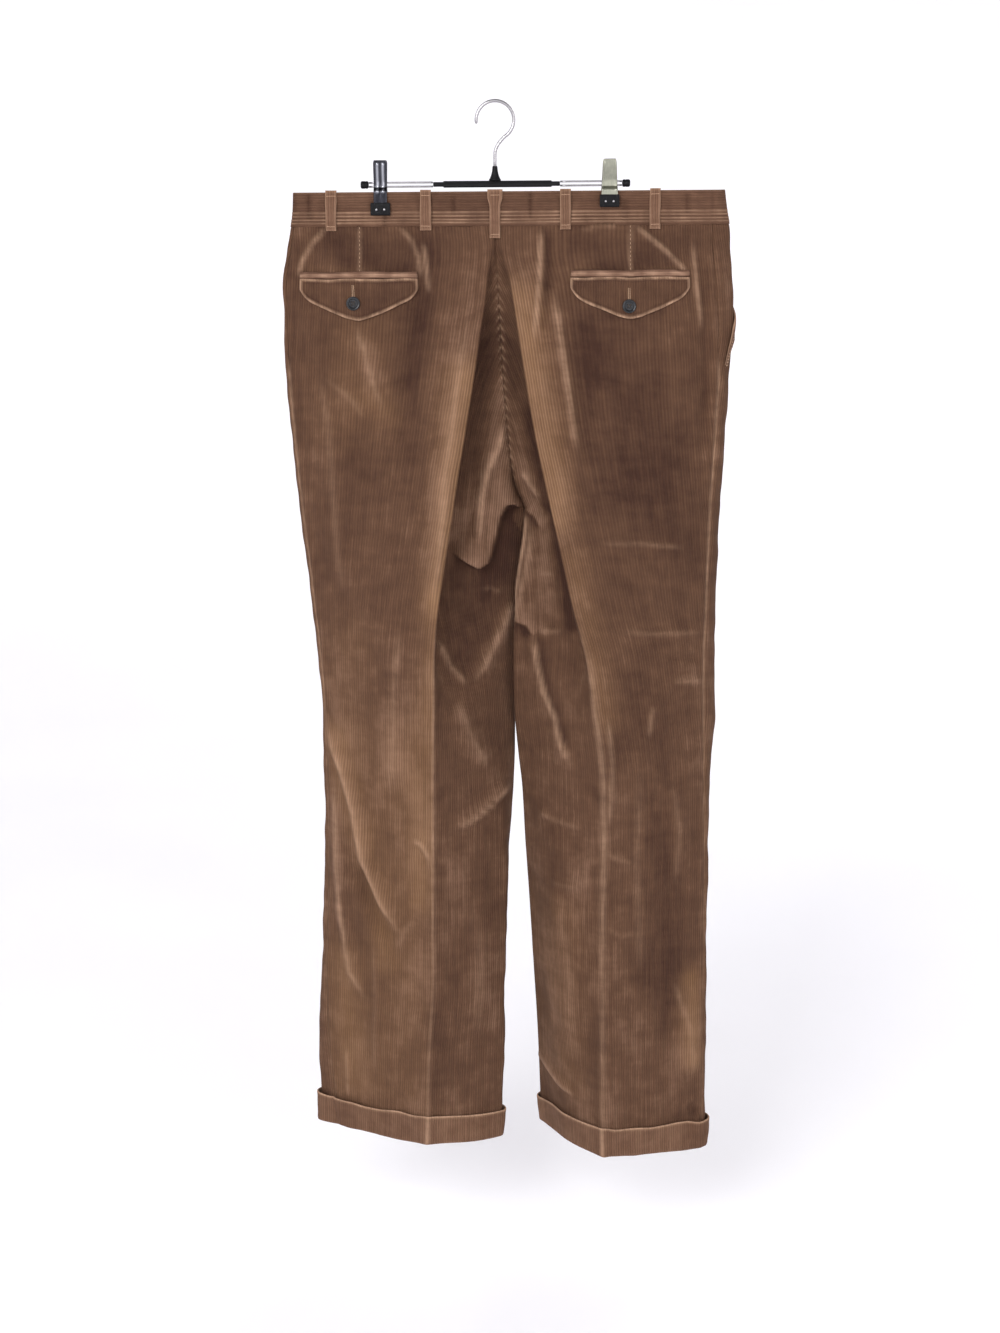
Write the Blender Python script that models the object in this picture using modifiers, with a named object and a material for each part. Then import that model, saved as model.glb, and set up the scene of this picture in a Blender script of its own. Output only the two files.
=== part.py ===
"""Corduroy trousers hung by the waistband from a wire hanger with two clips.

Metres, +Z up. The origin is the inner top of the hanger's hook, where a rail carries it. The seat of the
trousers faces -Y and the wearer's right is +X. Tables and cloth sizes are in millimetres, and every level
of the cloth is named by its drop: how far it lies below the top of the waistband.
"""
import math

import bmesh
import bpy
from mathutils import Vector

MM = 0.001
GAP = 0.3                  # clearance between pieces that touch

# Levels
WAIST_BELOW_HOOK = 92.0    # hook's inner top to the top of the waistband
BAND_HEIGHT = 36.7
CROTCH = 345.0
HEM = {"left": 1068.0, "right": 1078.0}
TURNUP_HEIGHT = 34.0
HEM_RECESS = 1.5           # the leg ends this far inside its turn-up
TILT = 0.007               # rise per length towards +X: the hanger hangs a little out of level

# Cloth
WALL = 1.6
MITRE_LIMIT = 0.55         # least cosine by which a corner's wall is stretched
BAND_WALL = 3.0
TURNUP_WALL = 2.2
TRIM_WALL = 1.5
TRIM_STAND_OFF = 0.6       # trim bridges the facets of a rounded panel, so it stands off a little more
LOOP_WALL = 1.6

# Sections of each leg and its half of the seat, one row a level. On the back: the side seam, the belly of
# the cloth between seam and ridge, the ridge that runs down into the pressed crease, and the tuck behind
# it. On the front: the outer edge and the pressed crease. -Y is towards the back.
LEG_COLUMNS = ("drop", "side_x", "side_y", "belly", "ridge_x", "ridge_y", "tuck_x", "tuck_y",
               "edge_x", "edge_y", "front_x", "front_y")
LEG_ROWS = {
    "left": (
        (0, -213.5, -3, -4.2, -8, -9.4, -4, -9.5, -213.5, 3, -118, 2.0),
        (22, -214.5, -3, -4.2, -8, -9.6, -4, -9.7, -214.5, 3, -118, 2.2),
        (37, -216, -4, -1.9, -7, -9.9, -4, -9.8, -216, 4, -118, 5),
        (60, -219.5, -5, 2, -5, -11, -3.5, -8.5, -219.5, 5, -117, 10),
        (100, -225, -5, 5, -7, -15, -12, -5, -225, 8, -116, 18),
        (150, -225, -4, 7, -14, -21, -26, -5, -225, 10, -114, 26),
        (200, -223, -3, 8, -21.5, -28, -38, -6, -223, 11, -112, 32),
        (250, -220, -2, 9, -29.5, -35, -48, -8, -220, 12, -109, 38),
        (300, -216, 0, 9, -38, -42, -55, -12, -216, 13, -106, 42),
        (345, -212, 0, 9, -45, -48, -59, -15, -212, 13, -102, 46),
        (400, -206, 0, 9, -54, -54, -64, -22, -206, 13, -98, 48),
        (450, -201, 0, 8, -61.5, -58, -68, -30, -201, 13, -95, 49),
        (500, -196, 0, 8, -66, -61, -66, -40, -196, 13, -92, 48),
        (560, -192, -1, 7, -68, -62, -45, -38, -191.5, 13, -90, 47),
        (640, -190.5, -1, 6, -69, -62, -8, -26, -190.5, 13, -90, 44),
        (720, -191, -1, 5, -69.5, -62, 8, -24, -191.5, 14, -92, 43),
        (800, -193, 0, 5, -70, -62, 10, -26, -194.5, 14, -96, 42),
        (880, -196, 0, 5, -70.5, -63, 9, -31, -199.5, 14, -102, 42),
        (960, -195, -1, 4, -75.5, -64, 8, -36, -204, 13, -109, 42),
        (1025, -188, -5, 3, -77.5, -64.5, 6, -41, -203.5, 12, -114, 42),
        (1080, -182, -8, 3, -79, -65, 4.5, -45, -206.5, 10, -118, 42),
    ),
    "right": (
        (0, 232, -6.5, -6, 8, -9.4, 4, -9.5, 244, 2, 118, 2.0),
        (22, 232, -6.5, -6, 8, -9.6, 4, -9.7, 247, 2, 118, 2.2),
        (37, 232.5, -7, -2.9, 8, -9.9, 4.5, -9.8, 249.5, 2, 118, 5),
        (60, 233.7, -9, 1, 8.5, -11, 6.5, -8.5, 251, 2, 119, 11),
        (100, 237, -10, 4, 15.6, -15, 19, -5, 254.5, 1, 122, 20),
        (150, 241.5, -11, 6, 23.5, -22, 33, -5, 256.5, 0, 124, 28),
        (200, 242.5, -12, 8, 31.5, -29, 45, -6, 252.5, 0, 126, 34),
        (250, 240.2, -14, 9, 40, -36, 57, -8, 250, -1, 129, 39),
        (300, 237.7, -16, 9, 50.7, -44, 66, -12, 248, -2, 132, 43),
        (345, 235.5, -18, 9, 61, -49, 71, -15, 246, -3, 135, 46),
        (400, 233.7, -21, 9, 73.5, -55, 82, -22, 243, -4, 137, 46),
        (450, 232.5, -23, 8, 85, -59, 90, -28, 242.5, -6, 139, 45),
        (500, 231.4, -25, 8, 99.3, -62, 96, -36, 243, -8, 140, 44),
        (560, 231.7, -28, 7, 109.8, -64, 86, -39, 243.8, -10, 141, 42),
        (640, 233, -33, 6, 119.3, -66, 70, -39, 240, -16, 142, 40),
        (720, 235, -38, 5, 120.8, -68, 68, -38, 238, -24, 143, 38),
        (800, 236, -42, 5, 119.8, -70, 71, -38, 236.8, -28, 144, 36),
        (880, 236.5, -45, 5, 120.3, -73, 75, -38, 237, -31, 146, 35),
        (960, 237.5, -48, 4, 121.3, -76, 79, -36, 237.5, -34, 148, 34),
        (1080, 238, -54, 3, 123.5, -80, 85, -33, 237, -38, 152, 34),
    ),
}

# Centre back and centre front seams, which close on each other at the crotch. The opening is how far each
# half turns away from the seam's own line, in degrees: at 90 the cloth lies flat across it.
SEAT_COLUMNS = ("drop", "back_x", "back_y", "front_x", "front_y", "opening")
SEAT_ROWS = (
    (0, 0, -9.6, 0, 9.5, 90),
    (37, 0, -9.9, 0, 10, 90),
    (60, 1, -6, 0, 12, 90),
    (100, 3, 2, 0, 17, 90),
    (150, 6, 10, 2, 25, 90),
    (200, 9, 15, 5, 31, 90),
    (250, 13, 18, 10, 35, 84),
    (290, 17, 20, 16, 37, 74),
    (315, 21, 21, 22, 37, 64),
    (330, 26, 23, 27, 35.5, 56),
    (339, 31, 25.5, 31, 32.5, 50),
    (345, 33, 28.5, 33, 28.5, 48),
)

# Inseams below the crotch: place, the way the cloth runs there in degrees from -Y towards +X, and opening.
# The left leg's inseam lies behind the right leg's as far as the knees.
INSEAM_COLUMNS = ("drop", "inner_x", "inner_y", "run", "opening")
INSEAM_ROWS = {
    "left": (
        (345, 33, 28.5, 0, 48), (360, 34, 30, 0, 48), (400, 32.5, 29.5, 0, 48), (440, 27.5, 28, 0, 46),
        (500, 24, 25, 0, 44), (560, 23.5, 21, 0, 40), (620, 23, 14, 0, 32), (660, 21, 8, 4, 24),
        (720, 16, 1, 12, 14), (800, 9, -6, 25, 6), (880, 2, -12, 38, 0), (960, -6, -18, 46, 0),
        (1080, -18, -24, 52, 0),
    ),
    "right": (
        (345, 33, 28.5, 0, 48), (360, 33, 19, 0, 46), (400, 28, 12, 0, 44), (440, 22.5, 8, 0, 42),
        (500, 19.5, 4, 0, 40), (560, 20.5, 1.5, 0, 38), (620, 25.5, 1, 0, 38), (660, 30, 2, 0, 38),
        (720, 33.5, 5, 0, 38), (800, 39, 9, 0, 38), (880, 44, 13, 0, 38), (960, 49, 17, 0, 38),
        (1080, 54, 25, 0, 38),
    ),
}

# Where the walls have their vertices: levels, and columns in each stretch round a half section.
BAND_DROPS = (0.0, 12.0, 24.0, BAND_HEIGHT - GAP)
PANEL_DROPS = (BAND_HEIGHT, 58, 82, 106, 136, 168, 200, 232, 264, 294, 315, 330, 339, CROTCH, 352, 364, 384,
               412, 448, 494, 546, 604, 664, 730, 800, 870, 940, 990, 1030)
SPANS = (("inner", "tuck", 3), ("tuck", "ridge", 3), ("ridge", "swell", 3), ("swell", "side", 3),
         ("side", "edge", 4), ("edge", "front", 4), ("front", "fork", 4))
SIDE_INDEX = 12            # column of the side seam: back before it, front after it
RIDGE_INDEX = 6
SHARP_KEYS = ("ridge", "front")

# Belt loops: place, width and length
LOOP_HALF = 5.75
BACK_LOOP_TOP = -2.0
FRONT_LOOP_TOP = 0.8
LOOP_DROPS = (6.0, 16.0, 26.0, 34.0)
LOOP_BOTTOM = 40.5
BACK_LOOPS = (("loop_back_1", "left", -175.4), ("loop_back_2", "left", -73.8),
              ("loop_back_4", "right", 75.0), ("loop_back_5", "right", 171.3))
FRONT_LOOPS = (("loop_front_1", "left", -96.0), ("loop_front_2", "right", 96.0))
CENTRE_LOOP_HALVES = (8.0, 8.0, 5.6, 5.6, 5.6, 5.6)
CENTRE_LOOP_BOTTOM = 49.0
LOOP_BOW = 1.2             # how far a loop stands off the band at its middle

# Back pockets: middle and half width of each flap, and its depth from the middle to the ends
POCKET_DROP = 91.0
JET_HEIGHT = 7.0
FLAPS = {"left": (-146.7, 63.0), "right": (145.2, 64.0)}
FLAP_DEPTHS = ((0.0, 45.0), (0.4, 36.5), (0.83, 24.0), (0.95, 17.5), (1.0, 10.0))
FLAP_ROWS = (0.0, 0.33, 0.67, 1.0)
FLAP_COLUMNS = (-1.0, -0.95, -0.83, -0.62, -0.4, -0.2, 0.0, 0.2, 0.4, 0.62, 0.83, 0.95, 1.0)
BUTTONS = {"left": (-152.5, 117.0), "right": (144.0, 122.0)}
BUTTON_PROFILE = ((0.0, 0.0), (6.4, 0.0), (7.4, 0.8), (7.4, 2.1), (6.7, 2.6), (5.5, 2.2), (4.6, 1.6),
                  (0.0, 1.4))           # radius, height

# Front: slanted pocket edges and the fly
POCKET_EDGE_TOP = (40.0, 44.0)       # drop, and distance from the side seam
POCKET_EDGE_FEET = {"left": (186.0, 16.0), "right": (186.0, 6.0)}
POCKET_EDGE_COLUMNS = (0.0, 2.0, 4.0, 6.0, 8.0)
POCKET_EDGE_STEPS = 12
POCKET_EDGE_STAND_OFF = 1.3          # it bridges the facets where the cloth turns at the side
FLY_COLUMNS = (1.0, 13.5, 26.5, 39.0)   # distance from the centre front seam
FLY_DROPS = (38.0, 70.0, 105.0, 140.0, 175.0, 205.0)

# Hanger
BAR_DROP = -7.5
WIRE_RADIUS = 1.0
WIRE_SPACING = 4.2
SLEEVE_ENDS = (-66.0, 69.5)
SLEEVE_SIZE = (4.4, 7.0)             # thickness along Y, height
SLEEVE_ROUNDING = 1.2
BAR_ENDS = (-135.0, 136.0)
CAP_PROFILE = ((0, 0), (2.8, 0), (4.0, 1.4), (4.0, 7.3), (3.0, 8.5), (0, 8.5))   # radius, length
HOOK_WIRE = 1.75
HOOK_RADIUS = 20.0
HOOK_KNEE = -58.0                    # degrees round the hook's circle where the neck meets it
HOOK_SWEEP = 248.0
HOOK_STEPS = 24
NECK_LENGTH = 12.0                   # straight wire above the collar
NECK_BEND = 9.0
NECK_STEPS = 6
COLLAR_FOOT = -11.3                  # drop of the sleeve's top edge, where the collar stands
COLLAR_HEIGHT = 14.7
COLLAR_PROFILE = ((0, 0), (5.6, 0), (5.6, 3.0), (4.0, 6.5), (2.8, COLLAR_HEIGHT), (0, COLLAR_HEIGHT))
COLLAR_FLATTENING = 0.8              # depth along Y against its width
TURN_STEPS = 24
CLIP_X = 122.5
CLIP_PLATE = 1.2
CLIP_HEAD = ((-33.0, 8.5), (-25.0, 7.2), (-17.0, 4.4))    # drop, distance from the wires' plane
CLIP_PINCH = (-11.5, -4.2)           # drops between which the plates hold the wires
CLIP_SPLAY = -1.2                    # drop at which they reach out to the jaws
JAW_WIDTH = 21.0
JAW_HEIGHT = 13.2
JAW_THICK = 4.0
JAW_ROUNDING = 0.8
CLIPS = {"left": (11.3, 14.3), "right": (4.2, 15.6)}      # drop of the jaws' top, width of the plates

CORDUROY = (0.155, 0.085, 0.045)
BAND_BROWN = (0.20, 0.115, 0.062)
TRIM_BROWN = (0.25, 0.15, 0.085)
BUTTON_DARK = (0.03, 0.034, 0.04)
BLACK_PLASTIC = (0.012, 0.012, 0.014)
BRIGHT_WIRE = (0.62, 0.62, 0.63)
CLIP_METAL = {"left": (0.09, 0.09, 0.10), "right": (0.52, 0.52, 0.46)}


def clear_scene():
    """Remove every object of the scene."""
    for old in list(bpy.data.objects):
        bpy.data.objects.remove(old, do_unlink=True)


def make_material(name, colour, roughness, metallic=0.0):
    """A plain Principled material."""
    material = bpy.data.materials.new(name)
    material.use_nodes = True
    shader = material.node_tree.nodes["Principled BSDF"]
    shader.inputs["Base Color"].default_value = (*colour, 1.0)
    shader.inputs["Roughness"].default_value = roughness
    shader.inputs["Metallic"].default_value = metallic
    return material


def add_object(name, data, collection, colour, roughness, metallic=0.0):
    """Put a mesh or curve into the collection with a material of its own."""
    piece = bpy.data.objects.new(name, data)
    collection.objects.link(piece)
    data.materials.append(make_material(name + "_finish", colour, roughness, metallic))
    return piece


def to_world(point):
    """A point in millimetres and drop, as metres below the hook."""
    return Vector((point.x * MM, point.y * MM, (TILT * point.x - WAIST_BELOW_HOOK - point.z) * MM))


# ---------------------------------------------------------------- sections

def eased_slope(rise_in, rise_out):
    """Slope at a row that never lets the curve swing past the rows beside it."""
    if rise_in * rise_out <= 0:
        return 0.0
    return 2.0 * rise_in * rise_out / (rise_in + rise_out)


def read_rows(columns, rows, drop):
    """The table's values at a drop, on a smooth curve through its rows."""
    drop = min(max(drop, rows[0][0]), rows[-1][0])
    upper = max(i for i in range(len(rows) - 1) if rows[i][0] <= drop)
    span = rows[upper + 1][0] - rows[upper][0]
    t = (drop - rows[upper][0]) / span
    values = {}
    for column, name in enumerate(columns):
        def rise(i):
            if i < 0 or i >= len(rows) - 1:
                return None
            return (rows[i + 1][column] - rows[i][column]) / (rows[i + 1][0] - rows[i][0])
        here = rise(upper)
        before = rise(upper - 1)
        after = rise(upper + 1)
        start = here if before is None else eased_slope(before, here)
        end = here if after is None else eased_slope(here, after)
        low, high = rows[upper][column], rows[upper + 1][column]
        values[name] = ((2 * t**3 - 3 * t**2 + 1) * low + (t**3 - 2 * t**2 + t) * span * start
                        + (3 * t**2 - 2 * t**3) * high + (t**3 - t**2) * span * end)
    return values


def other(side):
    """The other leg."""
    return "right" if side == "left" else "left"


def key_points(side, drop):
    """The named corners of one half section, at a drop."""
    leg = read_rows(LEG_COLUMNS, LEG_ROWS[side], drop)
    keys = {name: Vector((leg[name + "_x"], leg[name + "_y"])) for name in
            ("side", "ridge", "tuck", "edge", "front")}
    keys["swell"] = (keys["side"] + keys["ridge"]) / 2 - Vector((0, leg["belly"]))
    if drop <= CROTCH:
        seat = read_rows(SEAT_COLUMNS, SEAT_ROWS, drop)
        keys["inner"] = Vector((seat["back_x"], seat["back_y"]))
        keys["fork"] = Vector((seat["front_x"], seat["front_y"]))
        run, opening = 0.0, seat["opening"]
    else:
        seam = read_rows(INSEAM_COLUMNS, INSEAM_ROWS[side], drop)
        keys["inner"] = Vector((seam["inner_x"], seam["inner_y"]))
        keys["fork"] = keys["inner"].copy()
        run, opening = seam["run"], seam["opening"]
    outwards = -1.0 if side == "left" else 1.0
    keys["inner_way"] = heading(run + outwards * opening)
    keys["fork_way"] = heading(run - outwards * opening)
    return keys


def heading(degrees):
    """A level direction, in degrees from -Y towards +X."""
    angle = math.radians(degrees)
    return Vector((math.sin(angle), -math.cos(angle)))


def half_section(side, drop):
    """Points round one half of the garment, from the centre back or inseam, past the side seam, and back
    along the front to the centre front or inseam.
    """
    keys = key_points(side, drop)
    ways = {
        "inner": keys["inner_way"],
        "tuck": (keys["ridge"] - keys["inner"]).normalized(),
        "swell": (keys["side"] - keys["ridge"]).normalized(),
        "side": (keys["edge"] - keys["swell"]).normalized(),
        "edge": (keys["front"] - keys["side"]).normalized(),
        "fork": keys["fork_way"],
    }
    points = [keys["inner"]]
    for start, end, count in SPANS:
        a, b = keys[start], keys[end]
        reach = (b - a).length
        way_a = (b - a).normalized() if start in SHARP_KEYS else ways[start]
        way_b = (b - a).normalized() if end in SHARP_KEYS else ways[end]
        for step in range(1, count + 1):
            t = step / count
            points.append((2 * t**3 - 3 * t**2 + 1) * a + (t**3 - 2 * t**2 + t) * reach * way_a
                          + (3 * t**2 - 2 * t**3) * b + (t**3 - t**2) * reach * way_b)
    return [Vector((p.x, p.y, drop)) for p in points]


def section_grid(side, drops):
    """Half sections at several drops."""
    return [half_section(side, drop) for drop in drops]


def outward(before, here, after, above, below):
    """Normal that mitres the walls on both sides of a vertex, and how far it stretches there."""
    flat_in = (here - before).normalized()
    flat_out = (after - here).normalized()
    along = (flat_in + flat_out).normalized()
    normal = along.cross(below - above).normalized()
    cosine = max(MITRE_LIMIT, math.sqrt(max(0.0, (1.0 + flat_in.dot(flat_out)) / 2.0)))
    return normal / cosine


def grid_normals(side, grid, drops):
    """Outward mitre normals for every vertex of a half section grid."""
    mirror = section_grid(other(side), [d for d in drops if d <= CROTCH])
    turn = -1.0 if side == "left" else 1.0
    normals = []
    last = len(grid[0]) - 1
    for row, ring in enumerate(grid):
        above = grid[max(row - 1, 0)]
        below = grid[min(row + 1, len(grid) - 1)]
        joined = drops[row] <= CROTCH
        line = []
        for column, here in enumerate(ring):
            if column == 0:
                before = mirror[row][1] if joined else ring[last - 1]
            else:
                before = ring[column - 1]
            if column == last:
                after = mirror[row][last - 1] if joined else ring[1]
            else:
                after = ring[column + 1]
            if drops[row] == CROTCH and column in (0, last):
                line.append(Vector((0, 0, 1)))
                continue
            line.append(outward(before, here, after, above[column], below[column]) * turn)
        normals.append(line)
    return normals


def seam_gap(grid):
    """Draw the edges of a panel back from its seams."""
    for ring in grid:
        for end, beside in ((0, 1), (len(ring) - 1, len(ring) - 2)):
            ring[end] = ring[end] + (ring[beside] - ring[end]).normalized() * GAP / 2
    return grid


# ---------------------------------------------------------------- walls

def wall_mesh(name, grid, normals, thick, closed=False):
    """A closed wall on a grid of points, thickened both ways along its normals.

    Neighbouring panels share the normals at their seam, so their walls meet edge to edge there.
    """
    mesh = bmesh.new()
    rows, columns = len(grid), len(grid[0])
    half = thick / 2
    outer = [[mesh.verts.new(to_world(p + n * half)) for p, n in zip(ring, line)]
             for ring, line in zip(grid, normals)]
    inner = [[mesh.verts.new(to_world(p - n * half)) for p, n in zip(ring, line)]
             for ring, line in zip(grid, normals)]
    steps = columns if closed else columns - 1
    for i in range(rows - 1):
        for j in range(steps):
            k = (j + 1) % columns
            mesh.faces.new((outer[i][j], outer[i + 1][j], outer[i + 1][k], outer[i][k]))
            mesh.faces.new((inner[i][k], inner[i + 1][k], inner[i + 1][j], inner[i][j]))
    for j in range(steps):
        k = (j + 1) % columns
        mesh.faces.new((outer[0][j], outer[0][k], inner[0][k], inner[0][j]))
        mesh.faces.new((outer[-1][k], outer[-1][j], inner[-1][j], inner[-1][k]))
    if not closed:
        for i in range(rows - 1):
            mesh.faces.new((outer[i + 1][0], outer[i][0], inner[i][0], inner[i + 1][0]))
            mesh.faces.new((outer[i][-1], outer[i + 1][-1], inner[i + 1][-1], inner[i][-1]))
    bmesh.ops.triangulate(mesh, faces=mesh.faces[:])
    bmesh.ops.recalc_face_normals(mesh, faces=mesh.faces[:])
    data = bpy.data.meshes.new(name)
    mesh.to_mesh(data)
    mesh.free()
    return data


def make_panels(collection):
    """The four leg panels, each from its half section on one side of the side seam."""
    for side in ("left", "right"):
        drops = list(PANEL_DROPS) + [HEM[side] - HEM_RECESS]
        grid = section_grid(side, drops)
        normals = grid_normals(side, grid, drops)
        for part, first, last in (("back", 0, SIDE_INDEX), ("front", SIDE_INDEX, len(grid[0]) - 1)):
            points = seam_gap([ring[first:last + 1] for ring in grid])
            fork = 0 if part == "back" else -1
            nudge = -GAP if part == "back" else GAP
            points[drops.index(CROTCH)][fork] += Vector((0, nudge, 0))
            directions = [line[first:last + 1] for line in normals]
            name = f"{part}_{side}"
            add_object(name, wall_mesh(name, points, directions, WALL), collection, CORDUROY, 0.9)


def make_waistband(collection):
    """Two halves of the waistband, from the centre back round the side to the centre front."""
    for side in ("left", "right"):
        grid = section_grid(side, BAND_DROPS)
        normals = grid_normals(side, grid, list(BAND_DROPS))
        kept = [0] + list(range(RIDGE_INDEX, len(grid[0])))
        points = seam_gap([[ring[i] for i in kept] for ring in grid])
        directions = [[line[i] for i in kept] for line in normals]
        name = f"waistband_{side}"
        add_object(name, wall_mesh(name, points, directions, BAND_WALL), collection, BAND_BROWN, 0.9)


def make_turnups(collection):
    """The turned-up hem round each leg, lying on the leg's own points moved out."""
    lift = WALL / 2 + GAP + TURNUP_WALL / 2
    for side in ("left", "right"):
        top = HEM[side] - TURNUP_HEIGHT
        drops = [top, top + TURNUP_HEIGHT / 2, HEM[side] - HEM_RECESS]
        grid = [facet_section(side, drop) for drop in drops]
        normals = grid_normals(side, grid, drops)
        loop = [[p + n * lift for p, n in zip(ring[:-1], line[:-1])] for ring, line in zip(grid, normals)]
        for point in loop[-1]:
            point.z = HEM[side]
        directions = [line[:-1] for line in normals]
        name = f"turnup_{side}"
        data = wall_mesh(name, loop, directions, TURNUP_WALL, closed=True)
        add_object(name, data, collection, BAND_BROWN, 0.9)


# ---------------------------------------------------------------- what lies on the cloth

def facet_section(side, drop):
    """The half section at a drop, on the flat facets between the wall's own levels."""
    levels = list(BAND_DROPS) + list(PANEL_DROPS) + [HEM[side] - HEM_RECESS]
    drop_in = min(max(drop, levels[0]), levels[-1])
    upper = max(i for i in range(len(levels) - 1) if levels[i] <= drop_in)
    t = (drop_in - levels[upper]) / (levels[upper + 1] - levels[upper])
    low = half_section(side, levels[upper])
    high = half_section(side, levels[upper + 1])
    ring = [a.lerp(b, t) for a, b in zip(low, high)]
    for point in ring:
        point.z = drop
    return ring


def on_cloth(side, part, drop, x=None, reach=None):
    """A point of the cloth and its outward normal, at a drop and at an X or a distance from the side seam."""
    ring = facet_section(side, drop)
    beneath = facet_section(side, drop + 1.0)
    order = range(SIDE_INDEX, RIDGE_INDEX, -1) if part == "back" else range(SIDE_INDEX, len(ring) - 1)
    step = -1 if part == "back" else 1
    walked = 0.0
    for i in order:
        a, b = ring[i], ring[i + step]
        length = (b - a).length
        if x is not None:
            t = (x - a.x) / (b.x - a.x)
        else:
            t = (reach - walked) / length
        if 0.0 <= t <= 1.0:
            break
        walked += length
    t = min(max(t, 0.0), 1.0)
    point = a.lerp(b, t)
    down = beneath[i].lerp(beneath[i + step], t) - point
    down.z = 1.0
    turn = 1.0 if (side == "left") == (part == "back") else -1.0
    normal = (b - a).cross(down).normalized() * turn
    return point, normal


def lay_on(side, part, places, lifts):
    """A grid of points and normals, each row lifted off the cloth by its own amount."""
    grid, normals = [], []
    for line, lift in zip(places, lifts):
        found = [on_cloth(side, part, **place) for place in line]
        grid.append([p + n * lift for p, n in found])
        normals.append([n for _, n in found])
    return grid, normals


def loop_lift(drop):
    """How far a belt loop's middle stands off the band's own middle; it bows between top and foot."""
    bow = LOOP_BOW * math.sin(math.pi * min(max(drop / LOOP_BOTTOM, 0.0), 1.0))
    return BAND_WALL / 2 + GAP + LOOP_WALL / 2 + bow


def make_loops(collection):
    """Five belt loops behind and two in front, each a strip down the band."""
    across = (-1.0, 0.0, 1.0)
    for loops, part, top in ((BACK_LOOPS, "back", BACK_LOOP_TOP), (FRONT_LOOPS, "front", FRONT_LOOP_TOP)):
        drops = (top, *LOOP_DROPS, LOOP_BOTTOM)
        for name, side, x in loops:
            places = [[{"drop": drop, "x": x + f * LOOP_HALF} for f in across] for drop in drops]
            grid, normals = lay_on(side, part, places, [loop_lift(drop) for drop in drops])
            add_object(name, wall_mesh(name, grid, normals, LOOP_WALL), collection, TRIM_BROWN, 0.9)
    grid, normals = [], []
    for drop, half in zip((BACK_LOOP_TOP, *LOOP_DROPS, CENTRE_LOOP_BOTTOM), CENTRE_LOOP_HALVES):
        back = min(key_points(side, max(drop, 0.0))["ridge"].y for side in ("left", "right"))
        grid.append([Vector((f * half, back - loop_lift(drop), drop)) for f in across])
        normals.append([Vector((0, -1, 0))] * len(across))
    data = wall_mesh("loop_back_3", grid, normals, LOOP_WALL)
    add_object("loop_back_3", data, collection, TRIM_BROWN, 0.9)


def flap_depth(share):
    """Depth of the flap at a share of its half width from the middle."""
    for (u0, d0), (u1, d1) in zip(FLAP_DEPTHS, FLAP_DEPTHS[1:]):
        if share <= u1:
            return d0 + (d1 - d0) * (share - u0) / (u1 - u0)
    return FLAP_DEPTHS[-1][1]


def make_back_pockets(collection):
    """The piped edge, the pointed flap and the button of each back pocket."""
    lift = WALL / 2 + TRIM_STAND_OFF + TRIM_WALL / 2
    for side, (middle, half) in FLAPS.items():
        places = [[{"drop": POCKET_DROP + v * flap_depth(abs(u)), "x": middle + u * half}
                   for u in FLAP_COLUMNS] for v in FLAP_ROWS]
        grid, normals = lay_on(side, "back", places, [lift] * len(places))
        data = wall_mesh(f"flap_{side}", grid, normals, TRIM_WALL)
        add_object(f"flap_{side}", data, collection, CORDUROY, 0.9)
        foot = POCKET_DROP - GAP
        places = [[{"drop": drop, "x": middle + u * half} for u in FLAP_COLUMNS]
                  for drop in (foot - JET_HEIGHT, foot)]
        grid, normals = lay_on(side, "back", places, [lift] * len(places))
        data = wall_mesh(f"jet_{side}", grid, normals, TRIM_WALL)
        add_object(f"jet_{side}", data, collection, TRIM_BROWN, 0.9)
        x, drop = BUTTONS[side]
        point, normal = on_cloth(side, "back", drop=drop, x=x)
        button = turned(f"button_{side}", BUTTON_PROFILE, collection, BUTTON_DARK, 0.35)
        button.location = to_world(point + normal * (lift + TRIM_WALL / 2 + GAP))
        facing = Vector((normal.x, normal.y, -normal.z))
        button.rotation_euler = facing.to_track_quat("Z", "Y").to_euler()


def make_front_details(collection):
    """The slanted edges of the side pockets, and the fly."""
    lift = WALL / 2 + POCKET_EDGE_STAND_OFF + TRIM_WALL / 2
    top, far = POCKET_EDGE_TOP
    for side, (foot, near) in POCKET_EDGE_FEET.items():
        places = []
        for step in range(POCKET_EDGE_STEPS + 1):
            t = step / POCKET_EDGE_STEPS
            reach = far + (near - far) * t
            places.append([{"drop": top + (foot - top) * t, "reach": reach + w}
                           for w in POCKET_EDGE_COLUMNS])
        grid, normals = lay_on(side, "front", places, [lift] * len(places))
        data = wall_mesh(f"pocket_edge_{side}", grid, normals, TRIM_WALL)
        add_object(f"pocket_edge_{side}", data, collection, TRIM_BROWN, 0.9)
    lift = WALL / 2 + TRIM_STAND_OFF + TRIM_WALL / 2
    places = []
    for drop in FLY_DROPS:
        centre = read_rows(SEAT_COLUMNS, SEAT_ROWS, drop)["front_x"]
        places.append([{"drop": drop, "x": centre - away} for away in FLY_COLUMNS])
    grid, normals = lay_on("left", "front", places, [lift] * len(places))
    add_object("fly", wall_mesh("fly", grid, normals, TRIM_WALL), collection, CORDUROY, 0.9)


# ---------------------------------------------------------------- hanger

def wire(name, points, radius, collection):
    """A bright round wire along points, with capped ends."""
    curve = bpy.data.curves.new(name, "CURVE")
    curve.dimensions = "3D"
    curve.bevel_depth = radius * MM
    curve.bevel_resolution = 3
    curve.use_fill_caps = True
    spline = curve.splines.new("POLY")
    spline.points.add(len(points) - 1)
    for knot, point in zip(spline.points, points):
        knot.co = (*to_world(point), 1.0)
    add_object(name, curve, collection, BRIGHT_WIRE, 0.25, 1.0)


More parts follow.
